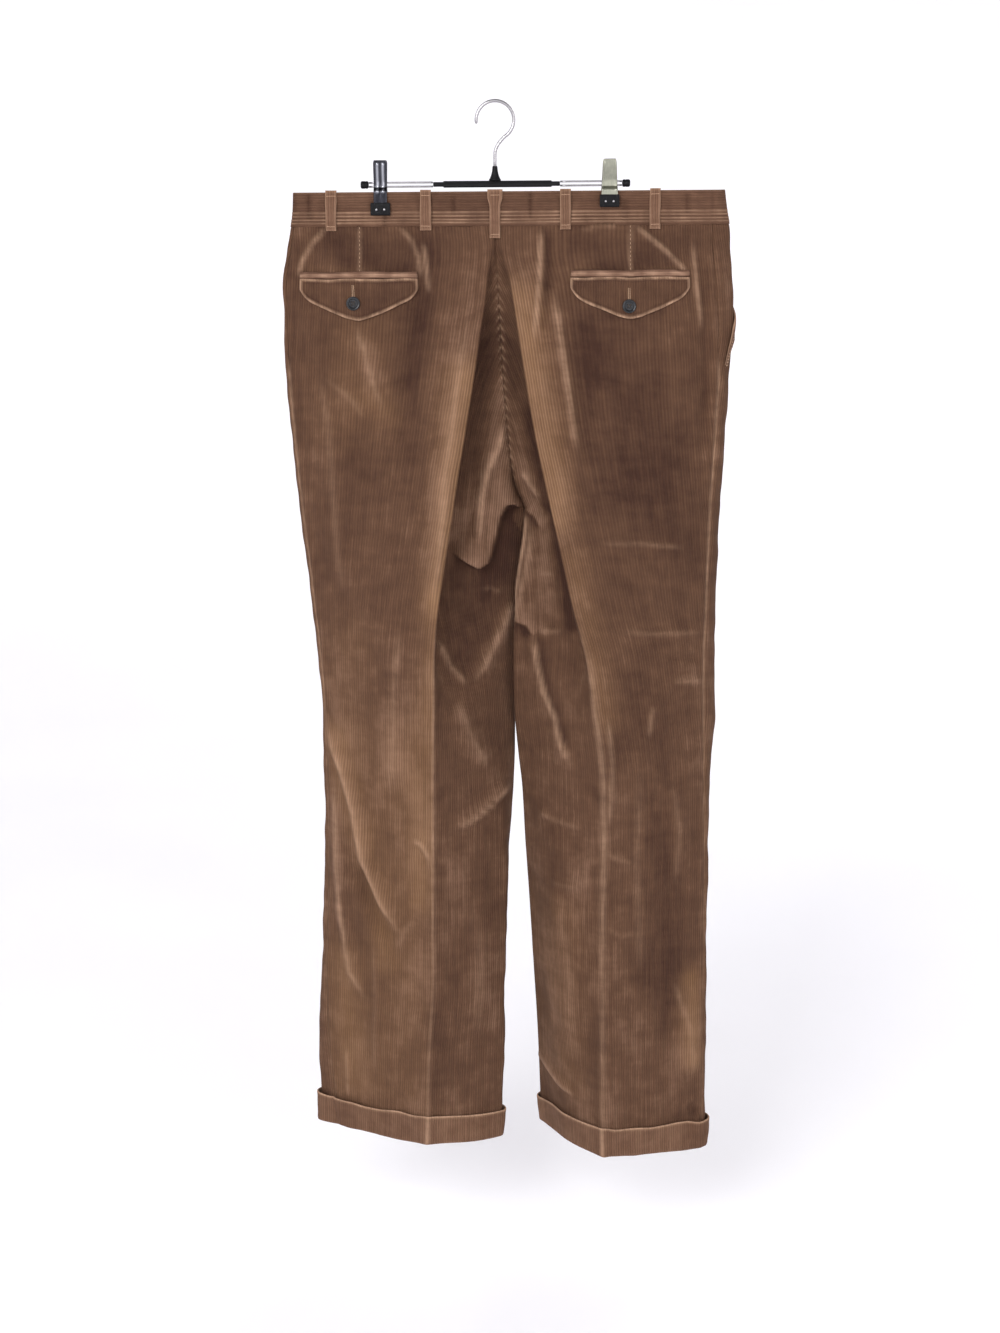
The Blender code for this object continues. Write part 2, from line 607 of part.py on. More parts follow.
def rounded_block(name, centre, size, rounding, collection, roughness):
    """A block of black plastic with rounded edges; centre and size in millimetres."""
    mesh = bmesh.new()
    bmesh.ops.create_cube(mesh, size=1.0)
    bmesh.ops.scale(mesh, vec=Vector(size) * MM, verts=mesh.verts[:])
    data = bpy.data.meshes.new(name)
    mesh.to_mesh(data)
    mesh.free()
    block = add_object(name, data, collection, BLACK_PLASTIC, roughness)
    block.location = to_world(Vector(centre))
    edge = block.modifiers.new("rounded edges", "BEVEL")
    edge.width = rounding * MM
    edge.segments = 2


def turned(name, profile, collection, colour, roughness):
    """A turned piece: radius and height pairs in millimetres, run round an upright axis."""
    mesh = bmesh.new()
    verts = [mesh.verts.new((r * MM, 0, h * MM)) for r, h in profile]
    edges = [mesh.edges.new(pair) for pair in zip(verts, verts[1:])]
    bmesh.ops.spin(mesh, geom=verts + edges, cent=(0, 0, 0), axis=(0, 0, 1), angle=math.tau, steps=TURN_STEPS,
                   use_merge=True)
    bmesh.ops.remove_doubles(mesh, verts=mesh.verts[:], dist=1e-6)
    bmesh.ops.recalc_face_normals(mesh, faces=mesh.faces[:])
    data = bpy.data.meshes.new(name)
    mesh.to_mesh(data)
    mesh.free()
    return add_object(name, data, collection, colour, roughness)


def make_bar(collection):
    """The centre sleeve, the two wires that come out of each end of it, and their end caps."""
    left, right = SLEEVE_ENDS
    middle = ((left + right) / 2, 0, BAR_DROP)
    rounded_block("sleeve", middle, (right - left, *SLEEVE_SIZE), SLEEVE_ROUNDING, collection, 0.45)
    number = 1
    for side, sleeve_end, bar_end, way in (("left", left, BAR_ENDS[0], -1), ("right", right, BAR_ENDS[1], 1)):
        for offset in (-WIRE_SPACING / 2, WIRE_SPACING / 2):
            start = Vector((sleeve_end + way * GAP, 0, BAR_DROP + offset))
            end = Vector((bar_end - way * GAP, 0, BAR_DROP + offset))
            wire(f"wire_{number}", (start, end), WIRE_RADIUS, collection)
            number += 1
        cap = turned(f"cap_{side}", CAP_PROFILE, collection, BLACK_PLASTIC, 0.45)
        cap.location = to_world(Vector((bar_end, 0, BAR_DROP)))
        cap.rotation_euler = (0, way * math.pi / 2, 0)


def make_hook(collection):
    """The hook and the collar that holds it to the sleeve."""
    collar = turned("hook_collar", COLLAR_PROFILE, collection, BLACK_PLASTIC, 0.45)
    collar.location = to_world(Vector((0, 0, COLLAR_FOOT)))
    collar.scale = (1.0, COLLAR_FLATTENING, 1.0)
    centre_drop = -WAIST_BELOW_HOOK + HOOK_RADIUS - HOOK_WIRE
    foot = Vector((0, 0, COLLAR_FOOT - COLLAR_HEIGHT - GAP))
    low = foot - Vector((0, 0, NECK_LENGTH))
    bend = low - Vector((0, 0, NECK_BEND))
    circle = []
    for step in range(HOOK_STEPS + 1):
        angle = math.radians(HOOK_KNEE + HOOK_SWEEP * step / HOOK_STEPS)
        circle.append(Vector((HOOK_RADIUS * math.cos(angle), 0, centre_drop - HOOK_RADIUS * math.sin(angle))))
    points = [foot, low]
    for step in range(1, NECK_STEPS):
        t = step / NECK_STEPS
        points.append(low * (1 - t) ** 2 + bend * 2 * t * (1 - t) + circle[0] * t ** 2)
    wire("hook", points + circle, HOOK_WIRE, collection)


def band_reach(side, part, jaw_top):
    """How far the waistband's outer face comes out behind a jaw."""
    reach = 0.0
    turn = -1.0 if side == "left" else 1.0
    for drop in (jaw_top, jaw_top + JAW_HEIGHT / 2, jaw_top + JAW_HEIGHT):
        for offset in (-0.5, -0.25, 0.0, 0.25, 0.5):
            point, _ = on_cloth(side, part, drop=drop, x=turn * CLIP_X + offset * JAW_WIDTH)
            reach = max(reach, abs(point.y))
    return reach + BAND_WALL / 2


def make_clip(side, collection):
    """One clip: two sprung plates that pinch the wires and carry a jaw each."""
    jaw_top, width = CLIPS[side]
    x = -CLIP_X if side == "left" else CLIP_X
    for part, way in (("back", -1.0), ("front", 1.0)):
        face = band_reach(side, part, jaw_top) + GAP
        grip = face + JAW_THICK / 2
        rounded_block(f"jaw_{side}_{part}", (x, way * grip, jaw_top + JAW_HEIGHT / 2),
                      (JAW_WIDTH, JAW_THICK, JAW_HEIGHT), JAW_ROUNDING, collection, 0.6)
        pinch = WIRE_RADIUS + GAP + CLIP_PLATE / 2
        profile = (*CLIP_HEAD, (CLIP_PINCH[0], pinch), (CLIP_PINCH[1], pinch), (CLIP_SPLAY, grip),
                   (jaw_top - GAP, grip))
        mesh = bmesh.new()
        edges = [[mesh.verts.new(to_world(Vector((x + edge * width / 2, way * y, drop))))
                  for drop, y in profile] for edge in (-1.0, 1.0)]
        for i in range(len(profile) - 1):
            mesh.faces.new((edges[0][i], edges[0][i + 1], edges[1][i + 1], edges[1][i]))
        name = f"clip_{side}_{part}"
        data = bpy.data.meshes.new(name)
        mesh.to_mesh(data)
        mesh.free()
        plate = add_object(name, data, collection, CLIP_METAL[side], 0.3, 1.0)
        sheet = plate.modifiers.new("sheet metal", "SOLIDIFY")
        sheet.thickness = CLIP_PLATE * MM
        sheet.offset = 0.0
        sheet.use_even_offset = True


def build():
    """Make every piece."""
    clear_scene()
    collection = bpy.data.collections.new("corduroy_trousers")
    bpy.context.scene.collection.children.link(collection)
    make_panels(collection)
    make_waistband(collection)
    make_turnups(collection)
    make_loops(collection)
    make_back_pockets(collection)
    make_front_details(collection)
    make_bar(collection)
    make_hook(collection)
    for side in ("left", "right"):
        make_clip(side, collection)


build()
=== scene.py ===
"""Corduroy trousers, clipped by the waistband to a wire hanger.

Metres, +Z up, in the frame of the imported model: the origin is the inner top of the hanger's hook, the seat
faces -Y and the wearer's right is +X. Sizes in the classes are in millimetres, and a level of the cloth is
named by its drop, which is how far it lies below the top of the waistband.
"""
import logging
import math
from dataclasses import dataclass, field
from enum import Enum

import bmesh
import bpy
import numpy as np
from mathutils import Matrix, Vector


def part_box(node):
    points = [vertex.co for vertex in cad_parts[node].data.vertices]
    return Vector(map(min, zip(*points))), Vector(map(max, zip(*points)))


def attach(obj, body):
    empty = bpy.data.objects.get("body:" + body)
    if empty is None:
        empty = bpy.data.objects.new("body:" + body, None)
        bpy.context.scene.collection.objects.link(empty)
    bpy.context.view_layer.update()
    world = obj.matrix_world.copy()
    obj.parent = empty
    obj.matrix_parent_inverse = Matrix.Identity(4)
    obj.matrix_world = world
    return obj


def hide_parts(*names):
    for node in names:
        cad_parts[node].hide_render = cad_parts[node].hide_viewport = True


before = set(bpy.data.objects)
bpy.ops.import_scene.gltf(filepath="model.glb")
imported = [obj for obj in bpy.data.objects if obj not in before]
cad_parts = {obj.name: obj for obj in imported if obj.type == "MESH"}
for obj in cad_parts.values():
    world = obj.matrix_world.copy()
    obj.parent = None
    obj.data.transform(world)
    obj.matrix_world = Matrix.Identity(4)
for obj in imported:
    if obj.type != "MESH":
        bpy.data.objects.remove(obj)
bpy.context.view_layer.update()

LOG = logging.getLogger("trousers")
Array = np.ndarray
Path = tuple[tuple[float, float], ...]
Place = tuple[float, float, float] | Array
Piece = bpy.types.Object
Finish = bpy.types.Material

MM = 0.001
GAP = 0.3
WELD = 1e-6                # metres within which points are joined
WAIST_BELOW_HOOK = 92.0
TILT = 0.007
BAND_HEIGHT = 36.7
BAND_FACE = -9.6           # Y of the waistband's middle at the centre back
CROTCH = 345.0
PANEL_TOP = 35.0           # the panels run up a little behind the waistband
HEM_RECESS = 1.5
TURNUP_HEIGHT = 34.0
WALL, BAND_WALL, TURNUP_WALL, TRIM_WALL, LOOP_WALL = 1.6, 3.0, 1.76, 1.5, 1.6
FOLD_DEPTH = 1.5           # the folds hang this much deeper than the heights listed for them

# Columns round a half section, counted from the centre back or the inseam
RIDGE, SIDE_SEAM, CREASE, FORK = 42, 118, 156, 190
BACKWARD, FORWARD = np.array([0.0, -1.0, 0.0]), np.array([0.0, 1.0, 0.0])


class Side(Enum):
    """The two legs, named as they hang, seen from behind."""

    LEFT = "left"
    RIGHT = "right"

    @property
    def out(self) -> float:
        """Which way along X is away from the other leg."""
        return -1.0 if self is Side.LEFT else 1.0

    @property
    def other(self) -> "Side":
        """The other leg."""
        return Side.RIGHT if self is Side.LEFT else Side.LEFT


class Zone(Enum):
    """Stretches of a half section between its seams and creases, by first and last column."""

    INNER_BACK = (0, RIDGE)
    OUTER_BACK = (RIDGE, SIDE_SEAM)
    OUTER_FRONT = (SIDE_SEAM, CREASE)
    INNER_FRONT = (CREASE, FORK)


LEFT, RIGHT = Side.LEFT, Side.RIGHT
IN, OUT = Zone.INNER_BACK, Zone.OUTER_BACK
FRONT_OUT, FRONT_IN = Zone.OUTER_FRONT, Zone.INNER_FRONT
HEMS = {LEFT: 1068.0, RIGHT: 1078.0}


# ------------------------------------------------------------------ small sums

def ease(t: Array) -> Array:
    """Smooth rise from 0 to 1."""
    t = np.clip(t, 0.0, 1.0)
    return t * t * (3.0 - 2.0 * t)


def window(values: Array, start: float, rise: float, end: float, fall: float) -> Array:
    """Smooth rise from 0 to 1 after a start, and fall back to 0 before an end."""
    return ease((values - start) / rise) * ease((end - values) / fall)


def bell(away: Array, width: float) -> Array:
    """A bell curve, 1 in its middle."""
    return np.exp(-(away / width) ** 2)


def turns(sides: int) -> Array:
    """Angles spread evenly round a circle."""
    return np.linspace(0.0, math.tau, sides, endpoint=False)


def spread(start: float, end: float, ends: tuple[float, ...], inner: float, count: int) -> Array:
    """Places along a line, close together at its ends, where a rim is rounded.

    Args:
        start: first place.
        end: last place.
        ends: extra places near an end, as distances from it.
        inner: where the even places start and stop, as a distance from the ends.
        count: number of even places.

    Returns:
        The places in order.
    """
    even = np.linspace(start + inner, end - inner, count)
    return np.concatenate([[start, *(start + e for e in ends)], even, [*(end - e for e in ends[::-1]), end]])


def unit(vectors: Array) -> Array:
    """Vectors scaled to length one."""
    return vectors / np.maximum(np.linalg.norm(vectors, axis=-1, keepdims=True), 1e-9)


def heading(degrees: Array) -> Array:
    """Level directions, in degrees from -Y towards +X."""
    return np.stack([np.sin(np.radians(degrees)), -np.cos(np.radians(degrees))], -1)


def hermite(t: Array, start: Array, end: Array, way_in: Array, way_out: Array) -> Array:
    """Points on a curve between two places.

    Args:
        t: shares of the way, any shape that goes with the other values.
        start: first place.
        end: last place.
        way_in: direction and speed at the start.
        way_out: direction and speed at the end.

    Returns:
        The points.
    """
    t2, t3 = t * t, t * t * t
    return ((2 * t3 - 3 * t2 + 1) * start + (t3 - 2 * t2 + t) * way_in
            + (3 * t2 - 2 * t3) * end + (t3 - t2) * way_out)


def to_frame(points: Array) -> Array:
    """Millimetres and drop, as metres below the hook."""
    x, y, drop = points[..., 0], points[..., 1], points[..., 2]
    return np.stack([x, y, TILT * x - WAIST_BELOW_HOOK - drop], -1) * MM


def follow(path: Path, x: Array, drop: Array) -> tuple[Array, Array]:
    """How places lie to a line drawn on the cloth.

    Args:
        path: the line's corners, as X and drop.
        x: X of the places.
        drop: drop of the places.

    Returns:
        Distance from the line, positive on the left of one that runs down, and share of its length.
    """
    corners = np.array(path, float)
    lengths = np.linalg.norm(np.diff(corners, axis=0), axis=1)
    best = np.full(x.shape, np.inf)
    away, share = np.zeros(x.shape), np.zeros(x.shape)
    walked = 0.0
    for (ax, ad), (bx, bd), length in zip(corners, corners[1:], lengths):
        wx, wd = (bx - ax) / length, (bd - ad) / length
        run = np.clip((x - ax) * wx + (drop - ad) * wd, 0.0, length)
        off = np.hypot(x - ax - run * wx, drop - ad - run * wd)
        hand = np.where(wx * (drop - ad) - wd * (x - ax) >= 0.0, 1.0, -1.0)
        nearer = off < best
        best = np.where(nearer, off, best)
        away = np.where(nearer, off * hand, away)
        share = np.where(nearer, (walked + run) / lengths.sum(), share)
        walked += length
    return away, share


# ------------------------------------------------------------------ the form of the garment


@dataclass(frozen=True)
class Table:
    """Sizes by drop, read on a smooth curve that never swings past its rows."""

    columns: tuple[str, ...]
    rows: tuple[tuple[float, ...], ...]

    def at(self, drops: Array) -> dict[str, Array]:
        """Read every column.

        Args:
            drops: the levels.

        Returns:
            Values by column name.
        """
        data = np.array(self.rows, float)
        level, values = data[:, 0], data[:, 1:]
        rise = np.diff(values, axis=0) / np.diff(level)[:, None]
        slope = np.concatenate([rise[:1], np.zeros_like(rise[1:]), rise[-1:]])
        before, after = rise[:-1], rise[1:]
        total = np.where(before + after == 0.0, 1.0, before + after)
        slope[1:-1] = np.where(before * after > 0.0, 2.0 * before * after / total, 0.0)
        drops = np.clip(drops, level[0], level[-1])
        i = np.clip(np.searchsorted(level, drops, side="right") - 1, 0, len(level) - 2)
        span = (level[i + 1] - level[i])[:, None]
        t = (drops - level[i])[:, None] / span
        found = hermite(t, values[i], values[i + 1], slope[i] * span, slope[i + 1] * span)
        return {name: found[:, k] for k, name in enumerate(self.columns)}


LEG_COLUMNS = ("side_x", "side_y", "belly", "ridge_x", "ridge_y", "tuck_x", "tuck_y", "edge_x", "edge_y",
               "front_x", "front_y")
LEGS = {
    Side.LEFT: Table(LEG_COLUMNS, (
        (0, -213.5, -3, -4.2, -8, -9.4, -4, -9.5, -213.5, 3, -118, 2.0),
        (22, -214.5, -3, -4.2, -8, -9.6, -4, -9.7, -214.5, 3, -118, 2.2),
        (37, -216, -4, -1.9, -7, -9.9, -4, -9.8, -216, 4, -118, 5),
        (60, -219.5, -5, 2, -5, -11, -3.5, -8.5, -219.5, 5, -117, 10),
        (100, -225, -5, 5, -7, -15, -12, -5, -225, 8, -116, 18),
        (150, -225, -4, 7, -14, -21, -26, -5, -225, 10, -114, 26),
        (200, -223, -3, 8, -21.5, -28, -38, -6, -223, 11, -112, 32),
        (250, -220, -2, 9, -29.5, -35, -48, -8, -220, 12, -109, 38),
        (300, -216, 0, 9, -38, -42, -55, -12, -216, 13, -106, 42),
        (345, -212, 0, 9, -45, -48, -59, -15, -212, 13, -102, 46),
        (400, -206, 0, 9, -54, -54, -64, -22, -206, 13, -98, 48),
        (450, -201, 0, 8, -61.5, -58, -68, -30, -201, 13, -95, 49),
        (500, -196, 0, 8, -66, -61, -66, -40, -196, 13, -92, 48),
        (560, -192, -1, 7, -68, -62, -45, -38, -191.5, 13, -90, 47),
        (640, -190.5, -1, 6, -69, -62, -8, -26, -190.5, 13, -90, 44),
        (720, -191, -1, 5, -69.5, -62, 8, -24, -191.5, 14, -92, 43),
        (800, -193, 0, 5, -70, -62, 10, -26, -194.5, 14, -96, 42),
        (880, -196, 0, 5, -70.5, -63, 9, -31, -199.5, 14, -102, 42),
        (960, -195, -1, 4, -75.5, -64, 8, -36, -204, 13, -109, 42),
        (1025, -188, -5, 3, -77.5, -64.5, 6, -41, -203.5, 12, -114, 42),
        (1080, -182, -8, 3, -79, -65, 4.5, -45, -206.5, 10, -118, 42),
    )),
    Side.RIGHT: Table(LEG_COLUMNS, (
        (0, 232, -6.5, -6, 8, -9.4, 4, -9.5, 244, 2, 118, 2.0),
        (22, 232, -6.5, -6, 8, -9.6, 4, -9.7, 247, 2, 118, 2.2),
        (37, 232.5, -7, -2.9, 8, -9.9, 4.5, -9.8, 249.5, 2, 118, 5),
        (60, 233.7, -9, 1, 8.5, -11, 6.5, -8.5, 251, 2, 119, 11),
        (100, 237, -10, 4, 15.6, -15, 19, -5, 254.5, 1, 122, 20),
        (150, 241.5, -11, 6, 23.5, -22, 33, -5, 256.5, 0, 124, 28),
        (200, 242.5, -12, 8, 31.5, -29, 45, -6, 252.5, 0, 126, 34),
        (250, 240.2, -14, 9, 40, -36, 57, -8, 250, -1, 129, 39),
        (300, 237.7, -16, 9, 50.7, -44, 66, -12, 248, -2, 132, 43),
        (345, 235.5, -18, 9, 61, -49, 71, -15, 246, -3, 135, 46),
        (400, 233.7, -21, 9, 73.5, -55, 82, -22, 243, -4, 137, 46),
        (450, 232.5, -23, 8, 85, -59, 90, -28, 242.5, -6, 139, 45),
        (500, 231.4, -25, 8, 99.3, -62, 96, -36, 243, -8, 140, 44),
        (560, 231.7, -28, 7, 109.8, -64, 86, -39, 243.8, -10, 141, 42),
        (640, 233, -33, 6, 119.3, -66, 70, -39, 240, -16, 142, 40),
        (720, 235, -38, 5, 120.8, -68, 68, -38, 238, -24, 143, 38),
        (800, 236, -42, 5, 119.8, -70, 71, -38, 236.8, -28, 144, 36),
        (880, 236.5, -45, 5, 120.3, -73, 75, -38, 237, -31, 146, 35),
        (960, 237.5, -48, 4, 121.3, -76, 79, -36, 237.5, -34, 148, 34),
        (1080, 238, -54, 3, 123.5, -80, 85, -33, 237, -38, 152, 34),
    )),
}
SEAT = Table(("back_x", "back_y", "front_x", "front_y", "opening"), (
    (0, 0, -9.6, 0, 9.5, 90), (37, 0, -9.9, 0, 10, 90), (60, 1, -6, 0, 12, 90), (100, 3, 2, 0, 17, 90),
    (150, 6, 10, 2, 25, 90), (200, 9, 15, 5, 31, 90), (250, 13, 18, 10, 35, 84), (290, 17, 20, 16, 37, 74),
    (315, 21, 21, 22, 37, 64), (330, 26, 23, 27, 35.5, 56), (339, 31, 25.5, 31, 32.5, 50),
    (345, 33, 28.5, 33, 28.5, 48),
))
INSEAM_COLUMNS = ("inner_x", "inner_y", "run", "opening")
INSEAMS = {
    Side.LEFT: Table(INSEAM_COLUMNS, (
        (345, 33, 28.5, 0, 48), (360, 34, 30, 0, 48), (400, 32.5, 29.5, 0, 48), (440, 27.5, 28, 0, 46),
        (500, 24, 25, 0, 44), (560, 23.5, 21, 0, 40), (620, 23, 14, 0, 32), (660, 21, 8, 4, 24),
        (720, 16, 1, 12, 14), (800, 9, -6, 25, 6), (880, 2, -12, 38, 0), (960, -6, -18, 46, 0),
        (1080, -18, -24, 52, 0),
    )),
    Side.RIGHT: Table(INSEAM_COLUMNS, (
        (345, 33, 28.5, 0, 48), (360, 33, 19, 0, 46), (400, 28, 12, 0, 44), (440, 22.5, 8, 0, 42),
        (500, 19.5, 4, 0, 40), (560, 20.5, 1.5, 0, 38), (620, 25.5, 1, 0, 38), (660, 30, 2, 0, 38),
        (720, 33.5, 5, 0, 38), (800, 39, 9, 0, 38), (880, 44, 13, 0, 38), (960, 49, 17, 0, 38),
        (1080, 54, 25, 0, 38),
    )),
}


@dataclass(frozen=True)
class Form:
    """The hanging shape of the cloth, as half sections round each leg and its half of the seat."""

    stretches: tuple[tuple[str, str, int, float, float], ...] = (
        # from, to, columns, and how much closer they stand at each end
        ("inner", "tuck", 30, 1.0, 1.0), ("tuck", "ridge", 12, 1.0, 1.6), ("ridge", "swell", 40, 1.35, 1.0),
        ("swell", "side", 36, 1.0, 1.2), ("side", "edge", 8, 1.0, 1.0), ("edge", "front", 30, 1.0, 1.5),
        ("front", "fork", 34, 1.5, 1.0))
    soft_reach: float = 5.5      # rounding of the fold that the seat makes over the thigh
    pressed_reach: float = 2.0   # rounding of a pressed crease
    pressed: tuple[float, float] = (480.0, 160.0)    # drop below which the crease sharpens, and over how far

    def corners(self, side: Side, drops: Array) -> dict[str, Array]:
        """Named corners of the half sections.

        Args:
            side: which leg.
            drops: the levels.

        Returns:
            Places and directions by name.
        """
        leg, seat, seam = LEGS[side].at(drops), SEAT.at(drops), INSEAMS[side].at(drops)
        keys = {name: np.stack([leg[name + "_x"], leg[name + "_y"]], -1)
                for name in ("side", "ridge", "tuck", "edge", "front")}
        keys["swell"] = (keys["side"] + keys["ridge"]) / 2
        keys["swell"][:, 1] -= leg["belly"]
        seated = drops <= CROTCH
        for name, place in (("inner", "back"), ("fork", "front")):
            keys[name] = np.stack([np.where(seated, seat[f"{place}_{axis}"], seam[f"inner_{axis}"])
                                   for axis in "xy"], -1)
        run = np.where(seated, 0.0, seam["run"])
        opening = side.out * np.where(seated, seat["opening"], seam["opening"])
        keys["inner_way"], keys["fork_way"] = heading(run + opening), heading(run - opening)
        return keys

    def section(self, side: Side, drops: Array) -> Array:
        """Points round the half sections.

        Args:
            side: which leg.
            drops: the levels.

        Returns:
            Points by level and column: X, Y and drop.
        """
        keys = self.corners(side, drops)
        ways = {
            "inner": keys["inner_way"], "fork": keys["fork_way"],
            "tuck": unit(keys["ridge"] - keys["inner"]), "swell": unit(keys["side"] - keys["ridge"]),
            "side": unit(keys["edge"] - keys["swell"]), "edge": unit(keys["front"] - keys["side"]),
        }
        parts = [keys["inner"][:, None]]
        for start, end, count, thin_start, thin_end in self.stretches:
            a, b = keys[start], keys[end]
            reach = np.linalg.norm(b - a, axis=1, keepdims=True)
            way_in, way_out = ways.get(start, unit(b - a)), ways.get(end, unit(b - a))
            t = (np.arange(1, count + 1) / count) ** thin_start
            t = (1.0 - (1.0 - t) ** thin_end)[None, :, None]
            parts.append(hermite(t, a[:, None], b[:, None], (reach * way_in)[:, None],
                                 (reach * way_out)[:, None]))
        flat = np.concatenate(parts, 1)
        room = 0.6 * np.linalg.norm(keys["ridge"] - keys["tuck"], axis=1)
        start, length = self.pressed
        soft = self.soft_reach + (self.pressed_reach - self.soft_reach) * ease((drops - start) / length)
        for row, ring in enumerate(flat):
            self.round_corner(ring, RIDGE, min(soft[row], room[row]))
            self.round_corner(ring, CREASE, self.pressed_reach)
        return np.concatenate([flat, np.broadcast_to(drops[:, None, None], (*flat.shape[:2], 1))], -1)

    @staticmethod
    def round_corner(ring: Array, corner: int, reach: float) -> None:
        """Round one corner of a section in place.

        Args:
            ring: the section's points.
            corner: the corner's column.
            reach: how far the rounding runs each way.
        """
        walk = np.concatenate([[0.0], np.cumsum(np.linalg.norm(np.diff(ring, axis=0), axis=1))])
        walk -= walk[corner]
        near = np.abs(walk) < reach
        ends = [np.array([np.interp(s, walk, ring[:, axis]) for axis in (0, 1)]) for s in (-reach, reach)]
        t = ((walk[near] + reach) / (2.0 * reach))[:, None]
        ring[near] = (1 - t) ** 2 * ends[0] + 2 * t * (1 - t) * ring[corner] + t * t * ends[1]


# ------------------------------------------------------------------ folds, wear, and painted light and shade


@dataclass(frozen=True)
class Fold:
    """A soft ridge or trough: its height, its width on its left and right going down, and its line."""

    height: float
    left: float
    right: float
    path: Path

    def lay(self, x: Array, drop: Array) -> tuple[Array, Array]:
        """How far the cloth stands out, and how much its crest is painted lighter, as rubbed nap and a painted
        highlight.

        Args:
            x: X of the places.
            drop: drop of the places.

        Returns:
            Millimetres along the cloth's normal, and wear: rubbed nap and a painted highlight on the crest.
        """
        away, share = follow(self.path, x, drop)
        width = np.where(away > 0.0, self.left, self.right) * 1.7
        ends = window(share, 0.0, 0.2, 1.0, 0.2)
        girth = self.left + self.right
        crest = 0.7 * np.clip((self.height - 0.8) / 1.6, 0.0, 1.0) * 9.0 / (9.0 + girth)
        rise = self.height * FOLD_DEPTH * (1.0 - ease(np.abs(away) / width))
        return rise * ends, crest * ends * bell(away, 1.9 + 0.06 * girth)


@dataclass(frozen=True)
class Lip:
    """A fold that hangs over the cloth below it, along a line whose left side bags out, with a painted highlight on
    its edge and a painted shadow under it.
    """

    path: Path
    push: float
    rise: float
    sag: float
    start: float                 # share of the line over which it grows
    end: float = 0.16            # share over which it fades
    fall: float = 5.0            # the cloth returns within this
    hollow: float = 2.5
    bright: float = 0.55         # painted highlight: tone on its edge
    dark: float = -0.8           # painted shadow: tone of the cloth under it

    def shift(self, x: Array, drop: Array) -> tuple[Array, Array, Array]:
        """How far the cloth comes out and sinks, and the painted highlight and painted shadow of its tone.

        Args:
            x: X of the places.
            drop: drop of the places.

        Returns:
            Millimetres towards the back, millimetres downwards, and tone, with a painted highlight on the edge and a
            painted shadow under it.
        """
        away, share = follow(self.path, x, drop)
        ends = window(share, 0.0, self.start, 1.0, self.end)
        out = np.where(away > 0.0, ease(1.0 - away / self.rise), ease(1.0 + away / self.fall)) * self.push
        out -= self.hollow * (1.0 - ease(np.abs(away + 9.0) / 9.0))
        bright = self.bright * np.exp(-np.maximum(away, 0.0) / 14.0)
        dark = self.dark * np.exp(-np.maximum(-away - 1.0, 0.0) / (1.1 * self.rise))
        tone = dark + (bright - dark) * ease((away + 4.5) / 5.0)
        return out * ends, self.sag * (1.0 - ease(np.abs(away - 2.0) / 8.0)) * ends, tone * ends


@dataclass(frozen=True)
class Mark:
    """A patch along a line, painted lighter, darker or golden: some patches are uneven nap, others painted light and
    shade.
    """

    tone: float
    warm: float
    reach: float
    path: Path


def on_lines(kind: type, rows: dict[tuple[Side, Zone], tuple]) -> dict[tuple[Side, Zone], list]:
    """Folds or marks from rows of three values and the corners of a line.

    Args:
        kind: Fold or Mark.
        rows: their rows, by side and zone.

    Returns:
        The folds or marks, by side and zone.
    """
    return {place: [kind(*row[:3], row[3:]) for row in group] for place, group in rows.items()}


